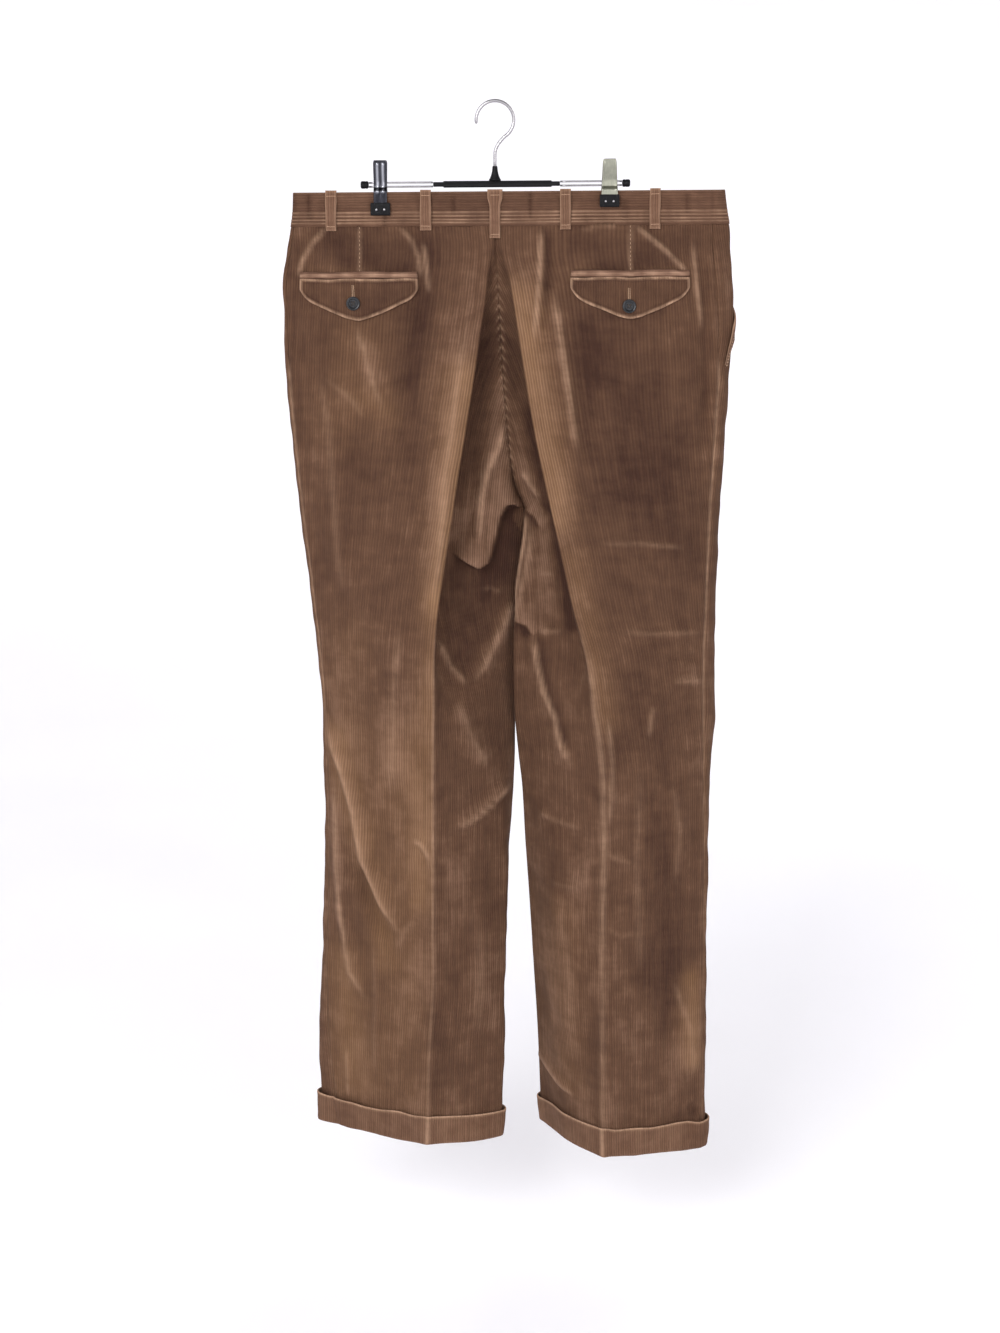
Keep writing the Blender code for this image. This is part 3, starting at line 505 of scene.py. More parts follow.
FOLDS = on_lines(Fold, {
    # the left seat and thigh roll in towards the centre
    (LEFT, OUT): (
        (3.5, 16, 16, (-27, 114), (-43, 220), (-53, 305), (-60, 391), (-67, 478)),
        (-4.5, 13, 13, (-67, 47), (-76, 114), (-87, 178), (-93, 252), (-90, 321)),
        (-1.5, 14, 14, (-110, 62), (-106, 146), (-105, 242), (-114, 328)),
        (2.2, 9, 12, (-150, 138), (-141, 167), (-131, 204), (-120, 233)),
        (1.6, 14, 18, (-192, 178), (-180, 254), (-175, 352), (-167, 441)),
        (-1.0, 4, 4, (-171, 362), (-134, 366), (-97, 367)),
        (4.5, 5, 9, (-192, 578), (-182, 607), (-173, 630), (-158, 682), (-149, 737), (-126, 788), (-105, 823)),
        (-3.0, 10, 8, (-163, 742), (-140, 791), (-117, 835)),
        (2.6, 6, 10, (-182, 638), (-179, 743), (-177, 803), (-166, 872), (-151, 900), (-134, 906)),
        (1.2, 5, 7, (-138, 827), (-137, 904), (-138, 1003)),
        (2.2, 5, 5, (-94, 706), (-82, 710), (-72, 726), (-69, 741)),
        (1.4, 5, 5, (-172, 965), (-171, 1033)),
        (2.0, 16, 20, (-104, 458), (-111, 548), (-115, 664)),
        (-1.6, 7, 6, (-128, 196), (-118, 222), (-92, 236)),
        (1.3, 6, 8, (-186, 196), (-160, 214), (-140, 240)),
        (-1.0, 8, 6, (-150, 300), (-120, 312), (-100, 306)),
        (1.2, 5, 7, (-88, 800), (-100, 812), (-112, 838)),
        # over the left pocket and down its dart
        (1.9, 3, 3, (-178, 34), (-195, 53), (-206, 70), (-213, 92)),
        (1.7, 3, 3, (-104, 36), (-90, 50), (-82, 68), (-80, 92)),
        (1.9, 3, 4, (-77, 50), (-74, 76), (-71, 108)),
        (1.4, 2, 2, (-145, 30), (-145, 96)),
    ),
    # left inner thigh and shin
    (LEFT, IN): (
        (3.0, 5, 10, (-47, 697), (-19, 683), (-1, 669), (19, 653)),
        (1.6, 14, 14, (-28, 781), (-17, 853), (-22, 948)),
        (2.0, 10, 12, (-45, 551), (-28, 598), (-6, 635)),
        (3.0, 5, 6, (10, 240), (4, 275), (-8, 300), (-16, 329), (-18, 366), (-21, 386)),
        (-2.5, 4, 5, (-13, 268), (-20, 307), (-23, 344), (-28, 383)),
        (2.5, 7, 9, (20, 444), (8, 476), (-6, 505), (-26, 538)),
        (1.8, 4, 6, (-66, 480), (-51, 514), (-31, 538)),
        (1.0, 3, 3, (-18, 434), (-6, 432), (7, 439)),
    ),
    # the right seat: two rolls beside the centre, the pocket, the hollow at the side
    (RIGHT, OUT): (
        (3.4, 2.5, 7, (49, 35), (48, 90), (44, 133), (42, 162)),
        (-2.6, 5, 6, (56, 36), (57, 82), (57, 114)),
        (3.4, 9, 5, (62, 98), (68, 135), (72, 169), (78, 204), (83, 241), (89, 281)),
        (-2.4, 10, 14, (89, 114), (96, 177), (100, 241), (103, 305)),
        (2.0, 4, 2.5, (146, 34), (156, 42), (181, 62), (210, 90)),
        (1.8, 3, 4, (211, 50), (216, 98), (223, 150)),
        (-2.4, 6, 6, (224, 62), (227, 136), (229, 221), (226, 297)),
        (-1.0, 4, 4, (138, 252), (138, 286)),
        (1.2, 4, 5, (89, 43), (113, 36), (132, 39)),
        (1.4, 2, 2, (145, 30), (145, 96)),
        # cross creases behind the right knee
        (1.2, 3, 4, (110, 374), (162, 376), (210, 383)),
        (1.2, 4, 4, (134, 471), (175, 475), (233, 478)),
        (1.4, 5, 5, (194, 529), (231, 533)),
        (-1.6, 6, 6, (186, 499), (227, 508)),
        (1.4, 3, 5, (174, 554), (171, 572), (169, 592)),
        (1.8, 20, 20, (160, 614), (157, 728), (163, 868)),
        (1.8, 6, 5, (123, 560), (129, 617), (127, 692)),
        (1.8, 12, 10, (200, 871), (222, 934), (228, 994)),
        (-2.4, 6, 6, (221, 1023), (233, 1039)),
        (1.1, 5, 6, (120, 712), (132, 726), (156, 731)),
        (-1.2, 6, 6, (126, 770), (146, 776), (170, 770)),
        (1.1, 5, 6, (124, 806), (140, 816), (158, 812)),
        (1.5, 9, 12, (196, 640), (205, 700), (202, 764)),
    ),
    # right inner thigh and shin
    (RIGHT, IN): (
        (3.0, 8, 3, (42, 478), (48, 515), (55, 545), (67, 573), (74, 601), (88, 632)),
        (1.4, 5, 6, (48, 683), (73, 690), (99, 695)),
        (1.2, 6, 6, (60, 763), (90, 764), (108, 752)),
        (2.6, 4, 7, (50, 984), (62, 998), (75, 1010), (93, 1017)),
        (1.5, 12, 12, (73, 782), (85, 863), (88, 949)),
        (1.8, 4, 4, (30, 302), (39, 317), (51, 333)),
        (1.2, 4, 4, (49, 415), (66, 414)),
        (1.4, 4, 4, (48, 479), (76, 477)),
        (1.6, 4, 3, (40, 352), (40, 384), (34, 418), (29, 443), (24, 468)),
        (-1.6, 3, 3, (44, 376), (43, 451), (47, 489), (59, 543)),
    ),
    # the front, as uneven as the back
    (LEFT, FRONT_OUT): (
        (3.0, 14, 18, (-180, 90), (-172, 190), (-160, 300), (-150, 400)),
        (-2.6, 12, 12, (-150, 60), (-146, 160), (-138, 260)),
        (2.4, 8, 12, (-185, 560), (-160, 600), (-132, 618)),
        (-2.0, 8, 8, (-176, 640), (-150, 662), (-124, 668)),
        (2.0, 14, 12, (-168, 760), (-158, 860), (-160, 980)),
    ),
    (LEFT, FRONT_IN): (
        (3.2, 12, 14, (-62, 60), (-58, 150), (-50, 240), (-34, 310)),
        (-2.4, 8, 9, (-30, 190), (-22, 250), (-2, 312)),
        (2.2, 7, 12, (-80, 380), (-50, 420), (-16, 440)),
        (1.8, 7, 9, (-70, 590), (-44, 600), (-14, 592)),
    ),
    (RIGHT, FRONT_OUT): (
        (2.8, 16, 14, (205, 90), (196, 200), (184, 320), (178, 420)),
        (-2.4, 12, 12, (168, 70), (165, 170), (160, 280)),
        (2.2, 8, 12, (230, 552), (200, 580), (166, 590)),
        (2.2, 16, 14, (205, 700), (196, 820), (200, 960)),
    ),
    (RIGHT, FRONT_IN): (
        (3.0, 12, 12, (70, 60), (68, 150), (60, 240), (48, 305)),
        (2.2, 7, 12, (118, 380), (86, 412), (50, 424)),
        (2.0, 7, 10, (120, 600), (92, 622), (62, 640)),
        (1.8, 12, 12, (118, 820), (100, 900), (98, 1000)),
    ),
})
LIPS = {
    LEFT: (Lip(((31, 342), (22, 335), (12, 336), (4, 350), (0, 364), (-5, 389), (-9, 400), (-18, 405), (-31, 397),
                (-51, 383)), 12.0, 46.0, 3.5, 0.03),),
    RIGHT: (Lip(((54, 366), (46, 352), (35, 345)), 4.0, 14.0, 1.0, 0.3),
            Lip(((44, 484), (36, 471), (20, 467)), 3.0, 16.0, 1.0, 0.2)),
}
# patches of the cloth's tone: uneven nap, and painted light and shade, with painted highlights where rolls face the
# light and painted shade in recesses, beside ridges, under the flaps and along the silhouettes
MARKS = on_lines(Mark, {
    (LEFT, OUT): (
        # painted highlight: golden light on the roll beside the left ridge, and down the thigh
        (0.28, 0.9, 24, (-31, 199), (-36, 262), (-40, 326), (-47, 378), (-53, 434)),
        (0.2, 0.5, 16, (-60, 434), (-71, 545), (-79, 660), (-84, 777)),
        (0.02, 0.2, 40, (-132, 114), (-154, 180), (-166, 243)),
        # painted highlight on the seat under the pocket
        (0.22, 0.3, 18, (-137, 218), (-120, 231)),
        (-0.15, 0.0, 45, (-147, 296), (-135, 394), (-127, 482)),
        (0.1, 0.2, 26, (-159, 485), (-167, 555), (-156, 635), (-139, 702)),
        # painted highlight along the ridge down the left shin
        (0.18, 0.5, 18, (-180, 598), (-162, 671), (-139, 750), (-126, 854)),
        (0.12, 0.6, 25, (-173, 863), (-171, 949), (-167, 1010)),
        # painted shade over the left pocket, below the waistband
        (-0.55, 0.0, 30, (-165, 50), (-120, 78), (-76, 62)),
        # painted shadow under the left flap
        (-0.25, 0.0, 24, (-84, 112), (-100, 136), (-130, 150), (-190, 128)),
        # painted shade along the left silhouette
        (-0.3, 0.0, 12, (-214, 60), (-218, 140), (-214, 260)),
        (-0.18, 0.0, 34, (-178, 170), (-150, 230), (-146, 330)),
        (-0.14, 0.0, 40, (-120, 760), (-150, 840), (-120, 980)),
        (0.1, 0.3, 40, (-100, 600), (-104, 800), (-110, 1000)),
    ),
    (LEFT, IN): (
        (-0.04, 0.0, 60, (-28, 554), (-26, 688), (-29, 828), (-38, 970)),
        # painted highlight down the left recess
        (0.28, 0.0, 13, (5, 224), (-3, 279), (-28, 339), (-48, 365)),
        # painted shade on the inner thigh under the lip, and in the recess beside the left ridge
        (-0.24, 0.0, 26, (11, 386), (-17, 445), (-28, 488)),
        (-0.4, 0.0, 22, (-8, 147), (-12, 224), (-23, 300)),
        (-0.3, 0.0, 9, (-18, 130), (-34, 230), (-45, 330)),
        # painted highlight along the crest of the fold below the lip
        (0.3, 0.0, 10, (22, 444), (8, 478), (-10, 510)),
        (0.45, 0.0, 14, (10, 200), (2, 270), (4, 320)),
    ),
    (RIGHT, IN): (
        (-0.3, 0.0, 20, (14, 137), (23, 213), (32, 279)),
        (-0.04, 0.0, 40, (56, 554), (73, 665), (80, 781)),
        (0.16, 0.3, 26, (70, 800), (76, 900), (84, 1000)),
        (0.3, 0.0, 8, (59, 355), (56, 410), (63, 456)),
        # painted shadow in the narrow gap under the right ridge, where it hangs over the recess
        (-0.95, 0.0, 8, (64, 345), (71, 380), (77, 414), (86, 468)),
        (-0.7, 0.0, 8, (38, 235), (48, 290), (58, 338)),
        (-0.45, 0.0, 6, (52, 490), (56, 530), (66, 566), (78, 598)),
        (0.35, 0.0, 10, (20, 230), (30, 290), (44, 335)),
    ),
    (RIGHT, OUT): (
        # painted highlight: golden light beside the right ridge, and below it
        (0.46, 0.8, 20, (27, 114), (43, 199), (54, 262), (65, 348)),
        (0.15, 0.4, 16, (84, 391), (104, 478), (120, 567)),
        (-0.18, 0.0, 34, (102, 167), (124, 241), (141, 327)),
        (-0.15, 0.0, 40, (167, 188), (184, 274), (191, 361)),
        (0.15, 0.0, 30, (187, 537), (200, 617), (195, 685)),
        (0.22, 0.7, 13, (221, 874), (225, 970)),
        (-0.22, 0.0, 14, (200, 860), (196, 924)),
        # painted shade over the right pocket, then the right panel lying darker all down
        (-0.25, 0.0, 26, (92, 60), (150, 70), (215, 50)),
        (-0.32, 0.0, 60, (130, 110), (150, 200), (150, 300)),
        (-0.25, 0.0, 50, (160, 330), (165, 450), (175, 560)),
        (-0.34, 0.0, 45, (170, 600), (180, 760), (180, 860)),
        # painted shade in the trough beside the right ridge
        (-0.4, 0.0, 5, (56, 45), (55, 90), (52, 140)),
    ),
    (LEFT, FRONT_OUT): (
        (0.2, 0.4, 40, (-150, 180), (-140, 320)),
    ),
    (LEFT, FRONT_IN): (
        (-0.18, 0.0, 45, (-80, 480), (-60, 700)),
    ),
    (RIGHT, FRONT_OUT): (
        (0.18, 0.3, 40, (180, 160), (176, 330)),
        (0.2, 0.5, 30, (200, 620), (196, 900)),
    ),
})


def surface_normals(grid: Array, before: Array, after: Array) -> Array:
    """Normals of a grid whose first and last columns have neighbours of their own.

    Args:
        grid: points by row and column.
        before: the column before the first.
        after: the column after the last.

    Returns:
        A unit vector for each point.
    """
    wide = np.concatenate([before[:, None], grid, after[:, None]], 1)
    step = unit(np.diff(wide, axis=1))
    return unit(np.cross(unit(step[:, :-1] + step[:, 1:]), np.gradient(grid, axis=0)))


@dataclass
class Cloth:
    """The folded cloth of both halves, as close grids of points."""

    form: Form
    drops: dict[Side, Array] = field(default_factory=dict)
    grid: dict[Side, Array] = field(default_factory=dict)
    arc: dict[Side, Array] = field(default_factory=dict)
    normal: dict[Side, Array] = field(default_factory=dict)
    marks: dict[Side, dict[str, Array]] = field(default_factory=dict)
    seams: tuple[tuple[int, float], ...] = ((0, 1.1), (SIDE_SEAM, 0.9), (FORK, 1.0))    # column and depth
    waves: tuple[tuple[float, float, float, float], ...] = (
        # height, length across and down, and phase of the cloth's faint unevenness
        (0.55, 71.0, 160.0, 0.3), (0.40, -47.0, 96.0, 2.1), (0.25, 31.0, -61.0, 4.4), (0.15, 19.0, 37.0, 1.2),
        (0.12, -23.0, 27.0, 5.2))

    def __post_init__(self) -> None:
        """Shape both halves, then lay their folds."""
        self.drops = {side: self.levels(side) for side in Side}
        self.grid = {side: self.form.section(side, self.drops[side]) for side in Side}
        self.arc = {side: self.walk(self.grid[side]) for side in Side}
        plain = {side: self.normals(side) for side in Side}
        self.grid = {side: self.folded(side, plain[side]) for side in Side}
        self.normal = {side: self.normals(side) for side in Side}

    @staticmethod
    def levels(side: Side) -> Array:
        """The grid's levels, closer round the crotch.

        Args:
            side: which half.

        Returns:
            Their drops.
        """
        hem = HEMS[side] - HEM_RECESS
        return np.concatenate([np.arange(0, 35, 5), np.arange(35, 290, 3.0), np.arange(290, 485, 2.5),
                               np.arange(485, hem - 2, 2.7), [hem]])

    @staticmethod
    def walk(grid: Array) -> Array:
        """Distance along each section from its first column."""
        steps = np.linalg.norm(np.diff(grid[..., :2], axis=1), axis=2)
        return np.concatenate([np.zeros((len(grid), 1)), np.cumsum(steps, axis=1)], 1)

    def normals(self, side: Side) -> Array:
        """Outward normals, which the two halves share along their seams.

        Args:
            side: which half.

        Returns:
            A unit vector for each point.
        """
        grid, twin = self.grid[side], self.grid[side.other]
        count = min(len(grid), len(twin))
        seated = (self.drops[side] <= CROTCH)[:, None]
        padded = np.concatenate([twin[:count], grid[count:]]) if count < len(grid) else twin[:count]
        before = np.where(seated, padded[:, 1], grid[:, -2])
        after = np.where(seated, padded[:, -2], grid[:, 1])
        normals = surface_normals(grid, before, after) * side.out
        fork = np.argmin(np.abs(self.drops[side] - CROTCH))
        normals[fork, [0, -1]] = (0.0, 0.0, 1.0)
        return normals

    def folded(self, side: Side, normals: Array) -> Array:
        """Lay the folds on one half, and note its nap and wear, and its painted light and shade.

        Args:
            side: which half.
            normals: its normals before the folds.

        Returns:
            The moved points.
        """
        grid, arc = self.grid[side].copy(), self.arc[side]
        x, drop = grid[..., 0], grid[..., 2]
        lift = self.ripples(side, x, drop)
        tone, warm, wear, edges = (np.full(lift.shape, value) for value in (0.0, 0.0, 0.0, 1.0))
        for zone in Zone:
            first, last = zone.value
            part = slice(first, last + 1)
            start, end = arc[:, [first]], arc[:, [last]]
            room = np.minimum(7.0, (end - start) / 2.5)
            edge = window(arc[:, part], start, room, end, room)
            edges[:, part] = np.minimum(edges[:, part], edge)
            for fold in FOLDS.get((side, zone), ()):
                raised, crest = fold.lay(x[:, part], drop[:, part])
                lift[:, part] += raised
                # the crests are painted lighter: rubbed nap and a painted highlight
                wear[:, part] += crest * edge
            # the marks add uneven nap, and painted light and shade, to the tone
            for mark in MARKS.get((side, zone), ()):
                blend = bell(follow(mark.path, x[:, part], drop[:, part])[0], mark.reach)
                tone[:, part] += mark.tone * blend
                warm[:, part] += mark.warm * blend
        lift *= edges
        # painted light and shade: the cloth is painted lighter where the folds stand out and darker in their troughs
        tone += 0.06 * lift
        # the seams flatten where the cloth crumples beside the crotch
        joined = ease((np.abs(drop - 385.0) - 45.0) / 25.0)
        seams = self.seam_lines(side, arc, drop)
        seams *= np.where(np.minimum(arc, arc[:, -1:] - arc) < 12.0, joined, 1.0)
        back = slice(0, RIDGE + 1)
        # each lip moves the cloth, and paints a highlight on its edge and a shadow under it into the tone
        for lip in LIPS[side]:
            out, down, shade = lip.shift(x[:, back], drop[:, back])
            grid[:, back, 1] -= out * edges[:, back]
            grid[:, back, 2] += down * edges[:, back]
            tone[:, back] += shade * ease(arc[:, back] / 2.0)
        grid += normals * (lift + seams)[..., None]
        # below the crotch the two inseams lap a little, so that no light shows between them
        lap = 1.6 * window(drop, CROTCH, 6.0, 470.0, 60.0)
        grid[..., 0] -= side.out * lap * (np.exp(-arc / 5.0) + np.exp(-(arc[:, -1:] - arc) / 5.0))
        wear += self.rubbed(side, arc, drop)
        if side is RIGHT:
            strip = bell(arc - 3.0, 3.0) * window(drop, 350.0, 12.0, 474.0, 12.0)
            wear += 0.5 * strip
            tone += 0.35 * strip
        self.marks[side] = {"tone": tone, "warm": np.clip(warm, 0.0, 1.0), "wear": np.clip(wear, 0.0, 1.0)}
        return grid

    def rubbed(self, side: Side, arc: Array, drop: Array) -> Array:
        """Wear along the creases and seams.

        Args:
            side: which half.
            arc: distance along each section.
            drop: drop of the places.

        Returns:
            Wear for each place.
        """
        level = self.drops[side][:, None]
        along = ease((level - 420.0) / 120.0) * (1.0 - 0.35 * ease((level - 780.0) / 120.0))
        wear = 0.22 * bell(arc - arc[:, [RIDGE]], 1.6 if side is LEFT else 3.6) * along
        wear += 0.5 * bell(arc - arc[:, [CREASE]], 1.3)
        # the side seams are rubbed from the pockets down
        seam = 0.42 * ease((drop - 170.0) / 30.0) * (1.0 - 0.7 * ease((drop - 480.0) / 220.0))
        wear += seam * bell(arc - arc[:, [SIDE_SEAM]], 1.5)
        # the slanting wales meet at the centre back in a row of rubbed chevrons
        chevrons = np.clip(np.cos((drop - 1.2 * arc) * math.tau / 11.0), 0.0, 1.0) ** 2 * bell(arc, 3.4)
        return wear + 0.55 * chevrons * window(drop, 70.0, 40.0, 335.0, 60.0)

    def ripples(self, side: Side, x: Array, drop: Array) -> Array:
        """Faint unevenness of cloth that has been used and pressed.

        Args:
            side: which half.
            x: X of the places.
            drop: drop of the places.

        Returns:
            Millimetres along the normal.
        """
        turn = 1.7 if side is LEFT else 4.1
        return sum(size * np.sin(x * math.tau / across + drop * math.tau / down + start * turn)
                   for size, across, down, start in self.waves)

    def seam_lines(self, side: Side, arc: Array, drop: Array) -> Array:
        """The shallow valleys of the seams, puckered beside the crotch.

        Args:
            side: which half.
            arc: distance along each section.
            drop: drop of the places.

        Returns:
            Millimetres along the normal.
        """
        lines = np.zeros_like(arc)
        for column, depth in self.seams:
            away = np.abs(arc - arc[:, [column]])
            lines -= depth * bell(away, 2.2) - 0.35 * depth * bell(away - 5.0, 2.5)
        near = bell(np.minimum(arc, arc[:, -1:] - arc), 9.0)
        return lines + 0.5 * np.sin(drop * math.tau / 13.0 + side.out) * near * bell(drop - 390.0, 90.0)

    def wales(self, side: Side, behind: bool) -> tuple[Array, Array]:
        """Places across and along the wales, in millimetres.

        Args:
            side: which half.
            behind: whether the back panel is wanted.

        Returns:
            Places across for each point, and places along by level.
        """
        arc, drops = self.arc[side], self.drops[side]
        if not behind:
            return arc[:, [CREASE]] - arc, drops[:, None]
        across = arc - arc[:, [RIDGE]]
        ridge = self.form.corners(side, drops)["ridge"][:, 0]
        lean = 0.5 * ease(across / 190.0) * (side.out * (ridge - ridge[-1]))[:, None]
        return across + lean, drops[:, None]

    def level(self, side: Side, drop: float) -> tuple[int, float]:
        """Where a drop lies between the grid's levels.

        Args:
            side: which half.
            drop: the drop.

        Returns:
            The row above it, and the share of the way to the next.
        """
        drops = self.drops[side]
        drop = min(max(drop, drops[0]), drops[-1])
        row = min(int(np.searchsorted(drops, drop, side="right")) - 1, len(drops) - 2)
        return row, (drop - drops[row]) / (drops[row + 1] - drops[row])

    def read(self, side: Side, columns: slice, keys: Array, key: float, drop: float) -> tuple[Array, Array]:
        """A place on the cloth, found along its sections.

        Args:
            side: which half.
            columns: columns to look between.
            keys: a measure of every point of the grid.
            key: the place's own measure.
            drop: its drop; one above the cloth is carried straight up.

        Returns:
            The point and the outward normal.
        """
        row, share = self.level(side, drop)
        found = []
        for grid in (self.grid[side], self.normal[side]):
            lines = []
            for r in (row, row + 1):
                order = np.argsort(keys[r, columns])
                lines.append([np.interp(key, keys[r, columns][order], grid[r, columns, axis][order])
                              for axis in range(3)])
            found.append(np.array(lines[0]) * (1 - share) + np.array(lines[1]) * share)
        found[0][2] = drop
        return found[0], unit(found[1])

    def spot(self, side: Side, zone: Zone, x: float, drop: float) -> tuple[Array, Array]:
        """The point and the outward normal of a place in a zone, given its X."""
        first, last = zone.value
        return self.read(side, slice(first, last + 1), self.grid[side][..., 0], x, drop)

    def beside(self, side: Side, reach: float, drop: float) -> tuple[Array, Array]:
        """The point and the outward normal of a place in front, given its distance from the side seam."""
        walked = self.arc[side] - self.arc[side][:, [SIDE_SEAM]]
        return self.read(side, slice(SIDE_SEAM, None), walked, reach, drop)

    def over(self, side: Side, zone: Zone, x: Array, drop: Array, lift: Array | float) -> Array:
        """Points that stand off the cloth.

        Args:
            side: which half.
            zone: where to look.
            x: X of the places.
            drop: their drops.
            lift: how far each stands off along the normal.

        Returns:
            The points, in millimetres.
        """
        x, drop, lift = np.broadcast_arrays(x, drop, lift)
        points = np.zeros((*x.shape, 3))
        for place in np.ndindex(x.shape):
            point, normal = self.spot(side, zone, x[place], drop[place])
            points[place] = point + normal * lift[place]
        return points


# ------------------------------------------------------------------ meshes

def link(name: str, data: bpy.types.ID) -> Piece:
    """Put a new object into the scene.

    Args:
        name: its name.
        data: its mesh, light or camera.

    Returns:
        The object.
    """
    piece = bpy.data.objects.new(name, data)
    bpy.context.scene.collection.objects.link(piece)
    return piece


def finish_mesh(name: str, points: Array, faces: Array | list, materials: list[Finish], smooth: bool = True) -> Piece:
    """Make an object at the origin with its place in its mesh.

    Args:
        name: the piece's name.
        points: corners, in metres.
        faces: corner numbers of each face.
        materials: its finishes.
        smooth: whether faces are shaded smooth.

    Returns:
        The object.
    """
    mesh = bpy.data.meshes.new(name)
    mesh.from_pydata(np.asarray(points).tolist(), [], faces if isinstance(faces, list) else faces.tolist())
    for material in materials:
        mesh.materials.append(material)
    mesh.polygons.foreach_set("use_smooth", np.full(len(mesh.polygons), smooth))
    return link(name, mesh)


def shell(name: str, grid: Array, normals: Array, thick: float, uv: Array, materials: list[Finish],
          marks: dict[str, Array], closed: bool = False, rim: float = 0.5) -> Piece:
    """A thin sheet of cloth or metal with a face on each side and rounded rims.

    Args:
        name: the piece's name.
        grid: middle of the sheet by row and column, in millimetres.
        normals: the way its outer face looks.
        thick: its thickness.
        uv: place across and along the weave; a closed sheet has one more column.
        materials: finish of the outer face, and of the inner face where it differs.
        marks: values by point for the finish.
        closed: whether the last column joins the first.
        rim: share of the thickness that is left at the rims.

    Returns:
        The object.
    """
    rows, columns = grid.shape[:2]
    steps = columns if closed else columns - 1
    half = np.full((rows, columns, 1), thick / 2)
    half[[0, -1]] *= rim
    if not closed:
        half[1:-1, [0, -1]] *= rim
    points = to_frame(np.concatenate([(grid + normals * way * half).reshape(-1, 3) for way in (1.0, -1.0)]))
    r, c = (a.ravel() for a in np.meshgrid(np.arange(rows - 1), np.arange(steps), indexing="ij"))
    across, down = np.arange(steps), np.arange(rows - 1)
    # each face as row, column and side of its corners: outer faces, inner faces, then the rims
    quads = [[(r, c, 0), (r + 1, c, 0), (r + 1, c + 1, 0), (r, c + 1, 0)],
             [(r, c + 1, 1), (r + 1, c + 1, 1), (r + 1, c, 1), (r, c, 1)],
             [(0, across, 0), (0, across + 1, 0), (0, across + 1, 1), (0, across, 1)],
             [(rows - 1, across + 1, 0), (rows - 1, across, 0), (rows - 1, across, 1), (rows - 1, across + 1, 1)]]
    if not closed:
        quads += [[(down + 1, 0, 0), (down, 0, 0), (down, 0, 1), (down + 1, 0, 1)],
                  [(down, steps, 0), (down + 1, steps, 0), (down + 1, steps, 1), (down, steps, 1)]]
    corners = np.concatenate([
        np.stack([np.stack(np.broadcast_arrays(*corner), -1) for corner in quad], 1) for quad in quads])
    faces = corners[..., 0] * columns + corners[..., 1] % columns + corners[..., 2] * rows * columns
    middle = faces[len(r) // 2]
    facing = np.cross(points[middle[2]] - points[middle[0]], points[middle[3]] - points[middle[1]])
    if float(facing @ (points[middle[0]] - points[middle[0] + rows * columns])) < 0.0:
        faces, corners = faces[:, ::-1], corners[:, ::-1]
    piece = finish_mesh(name, points, faces, materials)
    layer = piece.data.uv_layers.new(name="cloth")
    layer.data.foreach_set("uv", uv[corners[..., 0], corners[..., 1]].astype(np.float32).ravel())
    for key, values in marks.items():
        values = np.tile(values.ravel(), 2).astype(np.float32)
        piece.data.attributes.new(key, "FLOAT", "POINT").data.foreach_set("value", values)
    if len(materials) > 1:
        slots = np.zeros(len(faces), np.int32)
        slots[len(r):2 * len(r)] = 1
        piece.data.polygons.foreach_set("material_index", slots)
    return piece


def grid_normals(grid: Array, outward: Array, closed: bool = False) -> Array:
    """Normals of a free grid.

    Args:
        grid: points by row and column.
        outward: a direction that the middle point of its first row should look in.
        closed: whether the last column joins the first.

    Returns:
        A unit vector for each point.
    """
    if closed:
        before, after = grid[:, -1], grid[:, 0]
    else:
        before, after = 2 * grid[:, 0] - grid[:, 1], 2 * grid[:, -1] - grid[:, -2]
    normals = surface_normals(grid, before, after)
    return normals if float(normals[0, normals.shape[1] // 2] @ outward) > 0.0 else -normals


def weld(data: bpy.types.Mesh) -> None:
    """Join points that coincide, and turn every face outwards.

    Args:
        data: the mesh, changed in place.
    """
    mesh = bmesh.new()
    mesh.from_mesh(data)
    bmesh.ops.remove_doubles(mesh, verts=mesh.verts[:], dist=WELD)
    bmesh.ops.recalc_face_normals(mesh, faces=mesh.faces[:])
    mesh.to_mesh(data)
    mesh.free()


def join(name: str, pieces: list[Piece], material: Finish) -> Piece:
    """Make one piece of several.

    Args:
        name: the new piece's name.
        pieces: what it is made of; they go.
        material: its finish.

    Returns:
        The object.
    """
    mesh = bmesh.new()
    for piece in pieces:
        mesh.from_mesh(piece.data)
        bpy.data.objects.remove(piece, do_unlink=True)
    data = bpy.data.meshes.new(name)
    mesh.to_mesh(data)
    mesh.free()
    data.materials.append(material)
    return link(name, data)


def ring_faces(count: int, size: int, endless: bool = False) -> list[tuple[int, ...]]:
    """Faces between rings of points.

    Args:
        count: number of rings.
        size: points in each.
        endless: whether the last ring joins the first, as on a hoop.

    Returns:
        Point numbers of each face.
    """
    return [(i * size + k, i * size + (k + 1) % size, (i + 1) % count * size + (k + 1) % size,
             (i + 1) % count * size + k) for i in range(count if endless else count - 1) for k in range(size)]


def skin(name: str, rings: Array, material: Finish, endless: bool = False) -> Piece:
    """A solid piece stretched over rings of points.

    Args:
        name: the piece's name.
        rings: points by ring, in metres.
        material: its finish.
        endless: whether the last ring joins the first, as on a hoop.

    Returns:
        The object.
    """
    count, size = rings.shape[:2]
    faces = ring_faces(count, size, endless)
    if not endless:
        faces += [tuple(range(size))[::-1], tuple((count - 1) * size + k for k in range(size))]
    piece = finish_mesh(name, rings.reshape(-1, 3), faces, [material])
    weld(piece.data)
    return piece


